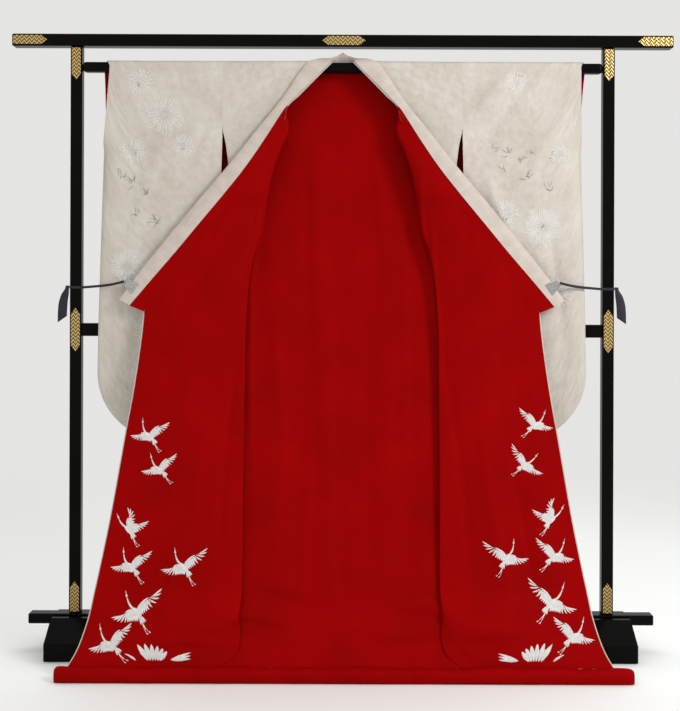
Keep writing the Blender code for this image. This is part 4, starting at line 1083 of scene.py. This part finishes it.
# Embroidery
class Field:
    """Depth of one sheet over across and up, where needlework is laid on it."""

    def __init__(self, xs, zs, depth, facing, side):
        self.xs = xs
        self.zs = zs
        self.depth = depth
        self.slope_z, self.slope_x = np.gradient(depth, zs, xs)
        self.facing = facing
        self.side = side

    def read(self, grid, x, z):
        i = np.clip((z - self.zs[0]) / (self.zs[1] - self.zs[0]), 0, len(self.zs) - 1.001)
        j = np.clip((x - self.xs[0]) / (self.xs[1] - self.xs[0]), 0, len(self.xs) - 1.001)
        a, b = i.astype(int), j.astype(int)
        u, v = i - a, j - b
        low = grid[a, b] * (1 - v) + grid[a, b + 1] * v
        high = grid[a + 1, b] * (1 - v) + grid[a + 1, b + 1] * v
        return low * (1 - u) + high * u

    def place(self, x, z, lift):
        """Points at a height above the outer face of the cloth."""
        depth = self.read(self.depth, x, z)
        slope_x = self.read(self.slope_x, x, z)
        slope_z = self.read(self.slope_z, x, z)
        normal = unit(np.stack([-slope_x, np.ones(np.shape(x)), -slope_z], axis=-1)) * self.facing
        point = np.stack([x, depth, z], axis=-1) + normal * (CLOTH_FAR + lift)[..., None]
        return point * np.array((self.side, 1.0, 1.0))


def field_of_rows(points, facing, side, low, high):
    """Field of a body panel whose rows each lie at one height."""
    heights = points[:, :, 2].mean(axis=1)
    chosen = points[(heights < 1.643)][::-1]
    levels = chosen[:, :, 2].mean(axis=1)
    xs = np.linspace(low, high, 260)
    zs = np.linspace(levels[0], levels[-1], 320)
    rows = np.array([np.interp(xs, row[:, 0], row[:, 1]) for row in chosen])
    depth = np.array([np.interp(zs, levels, rows[:, j]) for j in range(len(xs))]).T
    return Field(xs, zs, depth, facing, side)


def field_of_sleeve(face, side):
    xs = np.linspace(0.33, 0.70, 200)
    zs = np.linspace(0.60, 1.64, 420)
    grid_x, grid_z = np.meshgrid(xs, zs)
    return Field(xs, zs, sleeve_depths(grid_x, grid_z, face, side), face, side)


class Needlework:
    """Leaf-shaped raised strips of thread gathered into one piece."""

    def __init__(self, field):
        self.field = field
        self.points = []
        self.faces = []
        self.uvs = []

    def leaf(self, path, width, lift=0.0004, blunt=0.35, stations=9):
        """Strip along a path of two or three points, round at its root and pointed at its tip."""
        path = np.array(path, dtype=float)
        t = np.linspace(0.0, 1.0, stations)
        if len(path) == 2:
            line = path[0] + (path[1] - path[0]) * t[:, None]
        else:
            line = path[0] * ((1 - t) ** 2)[:, None] + path[1] * (2 * t * (1 - t))[:, None]
            line = line + path[2] * (t**2)[:, None]
        way = unit(np.gradient(line, axis=0))
        out = np.stack([-way[:, 1], way[:, 0]], axis=1)
        shape = np.sqrt(np.clip(t / blunt, 0.0, 1.0)) * np.sqrt(np.clip((1 - t) / (1 - blunt), 0.0, 1.0))
        half = width / 2 * np.maximum(shape, 0.04)
        first = len(self.points)
        length = np.linalg.norm(np.diff(line, axis=0), axis=1).sum()
        for share, up in ((-1.0, 0.0), (-0.5, 0.8), (0.0, 1.0), (0.5, 0.8), (1.0, 0.0)):
            spot = line + out * (half * share)[:, None]
            rise = np.full(stations, lift * up - (0.0002 if up == 0 else 0.0)) + self.order()
            self.points.extend(self.field.place(spot[:, 0], spot[:, 1], rise))
            self.uvs.extend(np.stack([t * length, np.full(stations, share * width / 2)], axis=1))
        for strip in range(4):
            for k in range(stations - 1):
                a = first + strip * stations + k
                self.faces.append((a, a + 1, a + stations + 1, a + stations))

    def order(self):
        """Later strips lie a little above earlier ones."""
        return 0.00001 * ((len(self.faces) // 32) % 12)

    def piece(self, name, material):
        if not self.points:
            return []
        return [new_piece(name, self.points, self.faces, self.uvs, material)]


def turned(points, centre, size, angle, flip):
    """Points of a motif set on the cloth."""
    result = []
    c, s = math.cos(angle), math.sin(angle)
    for x, z in points:
        x = x * flip
        result.append((centre[0] + size * (x * c - z * s), centre[1] + size * (x * s + z * c)))
    return result


# Wing poses: root, wrist, tip, way of the feathers at the root and at the tip, their length
WINGS = {
    "spread_back": ((0.00, 0.07), (-0.14, 0.23), (-0.27, 0.25), -105, -188, 0.20),
    "spread_fore": ((0.05, 0.05), (0.17, 0.07), (0.25, 0.00), -112, -28, 0.20),
    "high_back": ((-0.02, 0.07), (-0.13, 0.13), (-0.26, 0.15), -108, -184, 0.21),
    "high_up": ((0.04, 0.07), (0.06, 0.20), (0.01, 0.30), 218, 96, 0.19),
    "long_back": ((0.00, 0.07), (-0.12, 0.22), (-0.28, 0.31), -100, -196, 0.21),
    "long_fore": ((0.05, 0.04), (0.17, 0.02), (0.27, -0.08), -116, -34, 0.22),
}
POSES = {
    "spread": ("spread_back", "spread_fore", 62.0),
    "high": ("high_back", "high_up", 40.0),
    "long": ("long_back", "long_fore", 50.0),
}


def crane(works, centre, size, angle, pose, flip, bend=0.0):
    """A flying crane: trailing legs, tail, two wings of overlapping feathers, body, neck and head."""

    def strip(path, width, lift, blunt=0.35, stations=9):
        path = turned(path, centre, size, angle, flip)
        middle = path[len(path) // 2]
        works(middle).leaf(path, width * size, lift, blunt, stations)

    back, fore, lean = POSES[pose]
    size = size * CRANE_SCALE
    for k, spread in enumerate((0.0, 0.045)):
        strip([(-0.11, -0.13), (-0.17, -0.24), (-0.24 - spread, -0.35 + spread * 0.7)], 0.022, 0.0003, 0.2)
        toe = (-0.275 - spread, -0.365 + spread * 0.7)
        strip([(-0.235 - spread, -0.345 + spread * 0.7), toe], 0.026, 0.0003)
    for k, way in enumerate((-150, -135, -120, -104)):
        turn = math.radians(way)
        start = (-0.08, -0.07)
        end = (start[0] + 0.145 * math.cos(turn), start[1] + 0.145 * math.sin(turn))
        strip([start, end], 0.055, 0.0004)
    for name in (back, fore):
        root, wrist, tip, first, last, long = WINGS[name]
        root, wrist, tip = np.array(root), np.array(wrist), np.array(tip)
        for k in range(FEATHERS):
            finger = k - BROAD_FEATHERS
            share = k / 12 * 0.85 if finger < 0 else 0.6 + 0.1 * finger
            start = (1 - share) ** 2 * root + 2 * share * (1 - share) * wrist + share**2 * tip
            swing = share**1.8 if finger < 0 else 0.40 + 0.21 * finger
            turn = math.radians(first + (last - first) * swing)
            reach = long * (1.0 - 0.12 * math.sin(math.pi * share))
            way = np.array((math.cos(turn), math.sin(turn)))
            curl = np.array((-way[1], way[0])) * 0.02 * (1 if last < first else -1)
            broad = 0.052 if finger < 0 else 0.036
            strip([start, start + way * reach * 0.55 + curl, start + way * reach], broad, 0.0004, 0.55)
        for k in range(7):
            share = k / 6 * 0.6
            start = (1 - share) ** 2 * root + 2 * share * (1 - share) * wrist + share**2 * tip
            turn = math.radians(first + (last - first) * share**1.8)
            way = np.array((math.cos(turn), math.sin(turn)))
            strip([start, start + way * long * 0.60], 0.060, 0.0006, 0.5)
        strip([root, wrist, (wrist + tip) / 2], 0.040, 0.0007, 0.4)
    strip([(-0.13, -0.13), (-0.02, -0.01), (0.10, 0.07)], 0.115, 0.0009, 0.55)
    tilt = math.radians(lean)
    high = np.array((0.085 + 0.22 * math.cos(tilt), 0.06 + 0.26 * math.sin(tilt)))
    mid = np.array((0.165 + bend, 0.085))
    strip([(0.055, 0.045), mid, high], 0.046, 0.0008, 0.25, 11)
    ahead = unit(high - mid)
    strip([high - ahead * 0.02, high + ahead * 0.05], 0.042, 0.0009, 0.4)
    strip([high + ahead * 0.03, high + ahead * 0.115], 0.015, 0.0006, 0.2)


# Cranes on the lining: across, up, size, lean in degrees, wing pose, bend of the neck
CRANES = {
    -1: (
        (0.522, 0.618, 0.128, 4, "spread", 0.0),
        (0.492, 0.530, 0.122, -4, "spread", -0.02),
        (0.570, 0.374, 0.128, 6, "high", 0.01),
        (0.558, 0.280, 0.132, 2, "spread", 0.0),
        (0.418, 0.280, 0.136, 8, "long", 0.01),
        (0.537, 0.168, 0.150, 3, "long", 0.0),
    ),
    1: (
        (0.528, 0.652, 0.120, -8, "spread", -0.02),
        (0.498, 0.546, 0.114, -12, "long", -0.03),
        (0.565, 0.404, 0.126, 2, "high", 0.0),
        (0.568, 0.310, 0.130, -6, "spread", -0.02),
        (0.440, 0.306, 0.132, 12, "long", 0.01),
        (0.556, 0.194, 0.150, 0, "long", 0.0),
    ),
}

# Crane low on the lining: across, up, size, lean, pose, bend; the wing that rises from the hem: across, size
LOW_CRANES = {
    -1: (0.600, 0.054, 0.146, -8, "spread", 0.0, 0.470, 0.085),
    1: (0.609, 0.076, 0.138, -6, "spread", -0.01, 0.490, 0.090),
}

# Blossoms on the sleeves: side, face, across, up, radius, petals, rings
BLOSSOMS = (
    (-1, -1, 0.570, 1.600, 0.042, 7, 2),
    (-1, -1, 0.500, 1.506, 0.058, 12, 2),
    (-1, -1, 0.450, 1.420, 0.032, 7, 2),
    (-1, -1, 0.590, 1.400, 0.040, 9, 2),
    (-1, -1, 0.470, 1.130, 0.046, 8, 2),
    (-1, -1, 0.600, 1.080, 0.052, 14, 3),
    (-1, -1, 0.420, 0.960, 0.036, 7, 2),
    (-1, -1, 0.545, 0.900, 0.040, 8, 2),
    (1, -1, 0.488, 1.600, 0.032, 6, 2),
    (1, -1, 0.610, 1.400, 0.030, 7, 2),
    (1, -1, 0.460, 1.235, 0.038, 7, 2),
    (1, -1, 0.560, 1.195, 0.056, 18, 3),
    (1, -1, 0.430, 1.070, 0.034, 7, 2),
    (1, -1, 0.600, 1.010, 0.046, 9, 2),
    (1, -1, 0.480, 0.920, 0.036, 8, 2),
    (-1, 1, 0.560, 1.560, 0.046, 8, 2),
    (-1, 1, 0.470, 1.420, 0.050, 12, 2),
    (-1, 1, 0.590, 1.200, 0.044, 9, 2),
    (-1, 1, 0.460, 1.040, 0.040, 8, 2),
    (1, 1, 0.500, 1.580, 0.044, 8, 2),
    (1, 1, 0.600, 1.400, 0.050, 12, 2),
    (1, 1, 0.450, 1.260, 0.042, 9, 2),
    (1, 1, 0.560, 1.000, 0.040, 8, 2),
)

# Sprays of dark silver stitches: side, face, across, up, reach, stitches
SPRAYS = (
    (-1, -1, 0.572, 1.588, 0.010, 5),
    (-1, -1, 0.446, 1.408, 0.010, 4),
    (-1, -1, 0.622, 1.330, 0.026, 5),
    (-1, -1, 0.585, 1.312, 0.026, 6),
    (-1, -1, 0.548, 1.283, 0.020, 6),
    (-1, -1, 0.572, 1.225, 0.018, 5),
    (-1, -1, 0.520, 1.208, 0.028, 8),
    (-1, -1, 0.470, 1.105, 0.016, 5),
    (-1, -1, 0.430, 0.940, 0.014, 5),
    (1, -1, 0.490, 1.615, 0.014, 4),
    (1, -1, 0.425, 1.408, 0.022, 3),
    (1, -1, 0.470, 1.398, 0.022, 6),
    (1, -1, 0.525, 1.400, 0.018, 5),
    (1, -1, 0.500, 1.378, 0.018, 6),
    (1, -1, 0.455, 1.352, 0.024, 3),
    (1, -1, 0.520, 1.335, 0.026, 7),
    (1, -1, 0.590, 1.392, 0.018, 5),
    (1, -1, 0.580, 1.300, 0.022, 6),
    (1, -1, 0.458, 1.212, 0.014, 5),
    (1, -1, 0.560, 1.192, 0.010, 4),
    (1, -1, 0.600, 0.990, 0.014, 5),
    (-1, 1, 0.540, 1.480, 0.024, 6),
    (-1, 1, 0.500, 1.300, 0.022, 6),
    (1, 1, 0.540, 1.480, 0.024, 6),
    (1, 1, 0.500, 1.130, 0.022, 6),
)


def blossom(work, centre, radius, petals, rings, dice):
    """Rings of open petals, each two outlines of thread with a vein between them."""
    for ring in range(rings):
        inner = radius * (0.16 + 0.30 * ring / rings)
        outer = radius * (0.55 + 0.45 * (ring + 1) / rings)
        count = petals + 2 * ring
        for k in range(count):
            turn = 2 * math.pi * (k + 0.5 * ring + dice.uniform(-0.12, 0.12)) / count
            wide = math.pi / count * 0.82
            reach = outer * dice.uniform(0.88, 1.08)
            for hand in (-1, 1):
                a = (centre[0] + inner * math.cos(turn), centre[1] + inner * math.sin(turn))
                side_turn = turn + hand * wide
                b = (centre[0] + reach * 0.9 * math.cos(side_turn), centre[1] + reach * 0.9 * math.sin(side_turn))
                c = (centre[0] + reach * math.cos(turn), centre[1] + reach * math.sin(turn))
                work.leaf([a, b, c], 0.0030, 0.0006, 0.5)
            for hand in (-0.35, 0.35):
                side_turn = turn + hand * wide
                far = reach * 0.72
                a = (centre[0] + inner * math.cos(side_turn), centre[1] + inner * math.sin(side_turn))
                c = (centre[0] + far * math.cos(side_turn), centre[1] + far * math.sin(side_turn))
                work.leaf([a, c], 0.0018, 0.0005, 0.4)


def spray(work, centre, reach, stitches, dice):
    """Short stitches that fan out like stamens or fine leaves."""
    lean = dice.uniform(0.6, 2.4)
    for k in range(stitches):
        turn = lean + (k - (stitches - 1) / 2) * dice.uniform(0.30, 0.62)
        start = (centre[0] + dice.uniform(-0.3, 0.3) * reach, centre[1] + dice.uniform(-0.3, 0.3) * reach)
        long = reach * dice.uniform(0.45, 1.0)
        mid = (start[0] + long * 0.6 * math.cos(turn + 0.3), start[1] + long * 0.6 * math.sin(turn + 0.3))
        end = (start[0] + long * math.cos(turn), start[1] + long * math.sin(turn))
        work.leaf([start, mid, end], 0.0026, 0.0006, 0.4)


def make_cranes(side, front):
    """Cranes of one side, on the front's and the okumi's lining."""
    lapel = front[:, 40:]
    works = {name: Needlework(field_of_rows(lapel, -1, side, 0.26, 0.70)) for name in ("front", "okumi")}
    heights = lapel[::-1, 0, 2]
    edges = arc_lengths(lapel)[::-1, -1]

    def choose(spot):
        edge = np.interp(spot[1], heights, lapel[::-1, -1, 0])
        wedge = okumi_width(spot[1])
        return works["okumi" if spot[0] > edge - wedge * 0.97 else "front"]

    for x, z, size, lean, pose, bend in CRANES[side]:
        crane(choose, (x, z), size, math.radians(lean), pose, 1, bend)
    x, z, size, lean, pose, bend, wing_x, wing_size = LOW_CRANES[side]
    crane(choose, (x, z + 0.035), size, math.radians(lean), pose, 1, bend)
    low = 0.052
    for k in range(6):
        turn = math.radians(128 - k * 15)
        root = (wing_x + 0.006 * k, low)
        long = wing_size * (0.34 + 0.05 * k)
        tip = (root[0] + long * math.cos(turn), root[1] + long * math.sin(turn))
        choose(root).leaf([root, tip], 0.014, 0.0005, 0.5)
    beak = [(wing_x + 0.062, low), (wing_x + 0.075, low + 0.010), (wing_x + 0.092, low + 0.016)]
    choose(beak[1]).leaf(beak, 0.006, 0.0004)
    for k in range(3):
        root = (wing_x - 0.028, low + 0.002)
        tip = (wing_x - 0.080, low + 0.004 + 0.008 * k)
        choose(root).leaf([root, tip], 0.009, 0.0004)
    word = word_of(side)
    found = {}
    for name in ("front", "okumi"):
        found[name] = works[name].piece(f"crane_embroidery_{name}_{word}", looks["thread"])
    return found


def make_flowers(side):
    """Blossoms of one sleeve, front and back, in light and dark thread."""
    word = word_of(side)
    made = []
    for face, face_word in ((-1, "front"), (1, "back")):
        field = field_of_sleeve(face, side)
        dice = random.Random(41 + 7 * side + face)
        light = Needlework(field)
        dark = Needlework(field)
        for at_side, at_face, x, z, radius, petals, rings in BLOSSOMS:
            if (at_side, at_face) == (side, face):
                blossom(light, (x, z), radius, petals, rings, dice)
        for at_side, at_face, x, z, reach, stitches in SPRAYS:
            if (at_side, at_face) == (side, face):
                spray(dark, (x, z), reach, stitches, dice)
        made += light.piece(f"blossom_embroidery_{face_word}_{word}", looks["white_thread"])
        made += dark.piece(f"stitch_embroidery_{face_word}_{word}", looks["dark_thread"])
    return made


# Materials
def shader(name, colour, roughness, **values):
    """Principled material with constant values set on its sockets."""
    made = bpy.data.materials.new(name)
    made.use_nodes = True
    surface = made.node_tree.nodes["Principled BSDF"]
    surface.inputs["Base Color"].default_value = (*colour, 1.0)
    surface.inputs["Roughness"].default_value = roughness
    for key, value in values.items():
        surface.inputs[key.replace("_", " ").title().replace("Ior", "IOR")].default_value = value
    made.diffuse_color = (*colour, 1.0)
    return made, made.node_tree, surface


def add_node(tree, kind, **settings):
    made = tree.nodes.new(kind)
    for key, value in settings.items():
        if key in made.bl_rna.properties.keys():
            setattr(made, key, value)
        else:
            made.inputs[key.replace("_", " ").title()].default_value = value
    return made


def mapped(tree, source, scale):
    """Texture coordinates times a scale."""
    coordinates = add_node(tree, "ShaderNodeTexCoord")
    mapping = add_node(tree, "ShaderNodeMapping")
    mapping.inputs["Scale"].default_value = scale
    tree.links.new(coordinates.outputs[source], mapping.inputs["Vector"])
    return mapping.outputs["Vector"]


def noise(tree, vector, scale, detail=3.0, roughness=0.5):
    made = add_node(tree, "ShaderNodeTexNoise")
    made.inputs["Scale"].default_value = scale
    made.inputs["Detail"].default_value = detail
    made.inputs["Roughness"].default_value = roughness
    tree.links.new(vector, made.inputs["Vector"])
    return made.outputs["Fac"]


def bands(tree, vector, scale, direction, distortion=0.0):
    made = add_node(tree, "ShaderNodeTexWave")
    made.bands_direction = direction
    made.inputs["Scale"].default_value = scale
    made.inputs["Distortion"].default_value = distortion
    tree.links.new(vector, made.inputs["Vector"])
    return made.outputs["Fac"]


def math_node(tree, operation, *inputs):
    made = add_node(tree, "ShaderNodeMath")
    made.operation = operation
    for k, value in enumerate(inputs):
        if isinstance(value, (int, float)):
            made.inputs[k].default_value = value
        else:
            tree.links.new(value, made.inputs[k])
    return made.outputs[0]


def ramp(tree, factor, stops):
    made = add_node(tree, "ShaderNodeValToRGB")
    elements = made.color_ramp.elements
    while len(elements) < len(stops):
        elements.new(0.5)
    for element, (position, colour) in zip(elements, stops):
        element.position = position
        element.color = (*colour, 1.0)
    tree.links.new(factor, made.inputs["Fac"])
    return made.outputs["Color"]


def bump(tree, surface, height, distance, strength=1.0, before=None):
    made = add_node(tree, "ShaderNodeBump")
    made.inputs["Distance"].default_value = distance
    made.inputs["Strength"].default_value = strength
    tree.links.new(height, made.inputs["Height"])
    if before is not None:
        tree.links.new(before, made.inputs["Normal"])
    tree.links.new(made.outputs["Normal"], surface.inputs["Normal"])
    return made.outputs["Normal"]


def silk_look():
    """Ivory crepe silk with a faint woven figure."""
    made, tree, surface = shader("uchikake_outer_silk", (0.57, 0.515, 0.455), 0.52, sheen_weight=0.12)
    surface.inputs["Sheen Roughness"].default_value = 0.45
    surface.inputs["Specular IOR Level"].default_value = 0.35
    vector = mapped(tree, "UV", (1.0, 1.0, 1.0))
    cloud = noise(tree, vector, 9.0, 4.0, 0.6)
    figure = noise(tree, vector, 55.0, 2.0, 0.4)
    cloud = math_node(tree, "MULTIPLY", cloud, 0.7)
    figure = math_node(tree, "MULTIPLY", figure, 0.3)
    colour = ramp(
        tree, math_node(tree, "ADD", cloud, figure),
        ((0.30, (0.48, 0.425, 0.37)), (0.50, (0.555, 0.505, 0.445)), (0.72, (0.63, 0.59, 0.535))),
    )
    tree.links.new(colour, surface.inputs["Base Color"])
    crumple = bump(tree, surface, noise(tree, vector, 26.0, 5.0, 0.6), 0.006, 0.8)
    bump(tree, surface, noise(tree, vector, 420.0, 2.0, 0.5), 0.0004, 0.5, crumple)
    return made


def red_look(name, depth):
    """Deep red silk with a fine weave."""
    made, tree, surface = shader(name, (0.27 * depth, 0.0004, 0.0006), 0.6)
    surface.inputs["Specular IOR Level"].default_value = 0.02
    vector = mapped(tree, "UV", (1.0, 1.0, 1.0))
    cloud = noise(tree, vector, 5.0, 3.0, 0.5)
    colour = ramp(
        tree, cloud,
        ((0.30, (0.24 * depth, 0.0003, 0.0005)), (0.70, (0.30 * depth, 0.0005, 0.0008))),
    )
    tree.links.new(colour, surface.inputs["Base Color"])
    soft = bump(tree, surface, noise(tree, vector, 11.0, 3.0, 0.55), 0.008, 0.7)
    bump(tree, surface, noise(tree, vector, 600.0, 2.0, 0.5), 0.0003, 0.4, soft)
    return made


def collar_look():
    """Ribbed silk of the collar, a little pinker."""
    made, tree, surface = shader("uchikake_collar_silk", (0.48, 0.41, 0.36), 0.6, sheen_weight=0.08)
    vector = mapped(tree, "UV", (1.0, 1.0, 1.0))
    cloud = noise(tree, vector, 30.0, 3.0, 0.6)
    colour = ramp(tree, cloud, ((0.30, (0.50, 0.425, 0.37)), (0.70, (0.60, 0.525, 0.47))))
    tree.links.new(colour, surface.inputs["Base Color"])
    ribs = bands(tree, vector, 140.0, "Y", 0.6)
    soft = bump(tree, surface, noise(tree, vector, 40.0, 3.0, 0.5), 0.002, 0.5)
    bump(tree, surface, ribs, 0.0004, 0.6, soft)
    return made


def lacquer_look():
    """Black gloss lacquer."""
    made, tree, surface = shader("stand_black_lacquer", (0.0025, 0.0022, 0.002), 0.16)
    surface.inputs["Specular IOR Level"].default_value = 0.05
    vector = mapped(tree, "Object", (1.0, 1.0, 1.0))
    cloud = noise(tree, vector, 6.0, 4.0, 0.6)
    rough = ramp(tree, cloud, ((0.3, (0.12, 0.12, 0.12)), (0.8, (0.24, 0.24, 0.24))))
    tree.links.new(rough, surface.inputs["Roughness"])
    bump(tree, surface, noise(tree, vector, 38.0, 3.0, 0.5), 0.0006, 0.35)
    return made


def gold_look():
    """Antique gilt brass with an engraved herringbone, its grooves painted dark as painted shade."""
    made, tree, surface = shader("stand_gilt_plate", (0.42, 0.27, 0.09), 0.42, metallic=0.75)
    coordinates = add_node(tree, "ShaderNodeTexCoord")
    parts = add_node(tree, "ShaderNodeSeparateXYZ")
    tree.links.new(coordinates.outputs["Object"], parts.inputs[0])
    rows = math_node(tree, "FRACT", math_node(tree, "MULTIPLY", parts.outputs["X"], 72.0))
    zig = math_node(tree, "ABSOLUTE", math_node(tree, "SUBTRACT", rows, 0.5))
    up = math_node(tree, "MULTIPLY", parts.outputs["Z"], 95.0)
    lines = math_node(tree, "ADD", up, math_node(tree, "MULTIPLY", zig, 1.9))
    cut = math_node(tree, "ABSOLUTE", math_node(tree, "SUBTRACT", math_node(tree, "FRACT", lines), 0.5))
    # The ramp paints the middle of each engraved groove near black: painted shade in the grooves.
    colour = ramp(
        tree, cut,
        ((0.06, (0.035, 0.02, 0.005)), (0.20, (0.26, 0.165, 0.045)), (0.42, (0.66, 0.48, 0.19))),
    )
    tree.links.new(colour, surface.inputs["Base Color"])
    bump(tree, surface, cut, 0.0012, 0.8)
    return made


def thread_look(name, low, high, rough, metallic=0.0, scale=520.0):
    """Laid thread: fine lines along each strip."""
    made, tree, surface = shader(name, high, rough, metallic=metallic, sheen_weight=0.2)
    vector = mapped(tree, "UV", (1.0, 1.0, 1.0))
    lines = bands(tree, vector, scale, "Y", 1.5)
    cloud = noise(tree, vector, 45.0, 3.0, 0.6)
    cloud = math_node(tree, "MULTIPLY", cloud, 0.75)
    mixed = math_node(tree, "ADD", math_node(tree, "MULTIPLY", lines, 0.35), cloud)
    tree.links.new(ramp(tree, mixed, ((0.30, low), (0.70, high))), surface.inputs["Base Color"])
    bump(tree, surface, lines, 0.0003, 0.6)
    return made


def ribbon_look():
    """Purple-grey satin ribbon."""
    made, tree, surface = shader("clip_ribbon_satin", (0.022, 0.017, 0.028), 0.5)
    surface.inputs["Specular IOR Level"].default_value = 0.2
    vector = mapped(tree, "UV", (1.0, 1.0, 1.0))
    lines = bands(tree, vector, 260.0, "Y", 0.4)
    colour = ramp(tree, lines, ((0.0, (0.014, 0.010, 0.018)), (1.0, (0.032, 0.025, 0.040))))
    tree.links.new(colour, surface.inputs["Base Color"])
    bump(tree, surface, lines, 0.0002, 0.5)
    return made


def clip_look():
    """Nickel-plated clip, slightly brushed."""
    made, tree, surface = shader("clip_nickel", (0.42, 0.42, 0.42), 0.25, metallic=1.0)
    vector = mapped(tree, "Object", (1.0, 1.0, 1.0))
    cloud = noise(tree, vector, 300.0, 2.0, 0.5)
    tone = ramp(tree, cloud, ((0.3, (0.32, 0.32, 0.32)), (0.7, (0.50, 0.50, 0.50))))
    tree.links.new(tone, surface.inputs["Base Color"])
    return made


sizes = {}
looks = {
    "silk": silk_look(),
    "red": red_look("uchikake_red_lining", 1.0),
    "hem": red_look("uchikake_red_hem", 1.0),
    "collar": collar_look(),
    "lacquer": lacquer_look(),
    "gold": gold_look(),
    "thread": thread_look("embroidery_silver_white", (0.46, 0.44, 0.43), (0.84, 0.83, 0.81), 0.42),
    "white_thread": thread_look("embroidery_white", (0.60, 0.58, 0.54), (0.76, 0.75, 0.715), 0.38),
    "dark_thread": thread_look("embroidery_dark_silver", (0.17, 0.15, 0.12), (0.42, 0.39, 0.34), 0.35, 0.5),
    "ribbon": ribbon_look(),
    "clip": clip_look(),
}

# Cloth
edge_lines = {}
for hand in (-1, 1):
    back, back_out, front, front_out = body_surfaces(hand)
    cranes = make_cranes(hand, front)
    make_flowers(hand)
    make_back(hand, back, back_out)
    edge_lines[hand] = make_front(hand, front, front_out)
    make_sleeve(hand)
make_collar(edge_lines)
make_hem()
for hand in (-1, 1):
    make_ribbon(hand, clip_start(hand, edge_lines[hand]))

# Looks of the nodes that stay as CAD
STAND_LOOKS = {
    "foot": "lacquer", "post": "lacquer", "top_rail": "lacquer", "sleeve_rail": "lacquer",
    "mid_rail": "lacquer", "bottom_rail": "lacquer", "rail_plate": "gold", "post_plate": "gold", "clip": "clip",
}
for name, node in nodes.items():
    for start in sorted(STAND_LOOKS, key=len):
        if name.startswith(start):
            node.data.materials.clear()
            node.data.materials.append(looks[STAND_LOOKS[start]])

# Stage
bpy.ops.mesh.primitive_plane_add(size=14.0, location=(0.0, 0.0, -0.0005))
floor = bpy.context.object
floor.name = "floor"
floor_look, floor_tree, floor_surface = shader("floor_pale", (0.88, 0.895, 0.885), 0.7)
floor_surface.inputs["Specular IOR Level"].default_value = 0.15
away = add_node(floor_tree, "ShaderNodeVectorMath", operation="LENGTH")
floor_tree.links.new(add_node(floor_tree, "ShaderNodeTexCoord").outputs["Object"], away.inputs[0])
far = math_node(floor_tree, "SUBTRACT", away.outputs["Value"], 1.9)
far = math_node(floor_tree, "MAXIMUM", math_node(floor_tree, "DIVIDE", far, 2.2), 0.0)
far = math_node(floor_tree, "MINIMUM", far, 1.0)
glow = add_node(floor_tree, "ShaderNodeEmission")
glow.inputs["Color"].default_value = (0.785, 0.78, 0.765, 1.0)
blend = add_node(floor_tree, "ShaderNodeMixShader")
floor_tree.links.new(far, blend.inputs[0])
floor_tree.links.new(floor_surface.outputs[0], blend.inputs[1])
floor_tree.links.new(glow.outputs[0], blend.inputs[2])
floor_tree.links.new(blend.outputs[0], floor_tree.nodes["Material Output"].inputs["Surface"])
floor.data.materials.append(floor_look)

world = bpy.data.worlds.new("pale_room")
bpy.context.scene.world = world
world.use_nodes = True
world.node_tree.nodes["Background"].inputs["Color"].default_value = (0.785, 0.78, 0.765, 1.0)
world.node_tree.nodes["Background"].inputs["Strength"].default_value = 1.0
bpy.context.scene.view_settings.view_transform = "Standard"


def area_light(name, place, aim, size, power, colour=(1.0, 1.0, 1.0)):
    """Soft panel of light."""
    lamp = bpy.data.lights.new(name, "AREA")
    lamp.shape = "RECTANGLE"
    lamp.size, lamp.size_y = size
    lamp.energy = power
    lamp.color = colour
    made = bpy.data.objects.new(name, lamp)
    bpy.context.scene.collection.objects.link(made)
    made.location = place
    way = np.array(aim, dtype=float) - np.array(place, dtype=float)
    pitch = math.acos(-way[2] / np.linalg.norm(way))
    made.rotation_euler = (pitch, 0.0, math.atan2(-way[0], way[1]))
    return made


area_light("key_panel", (2.5, -2.1, 2.7), (0.0, 0.0, 1.0), (0.8, 0.8), 62.0)
area_light("fill_panel", (-2.4, -2.7, 1.7), (0.0, 0.0, 0.9), (1.8, 1.8), 5.0)
area_light("top_panel", (0.0, 0.8, 3.2), (0.0, 0.0, 0.9), (2.4, 1.6), 22.0)

# Camera at the photo's height and distance
lens = bpy.data.cameras.new("photo_camera")
camera = bpy.data.objects.new("photo_camera", lens)
bpy.context.scene.collection.objects.link(camera)
camera.location = (0.0, -3.4 + STAND_Y, 1.030)
camera.rotation_euler = (math.radians(90.0), math.radians(-0.2), 0.0)
lens.lens = 60.8
lens.sensor_width = 36.0
lens.sensor_fit = "AUTO"
lens.shift_x = -2 / 711
lens.shift_y = -70.5 / 711
lens.clip_start = 0.05
lens.clip_end = 60.0
bpy.context.scene.camera = camera
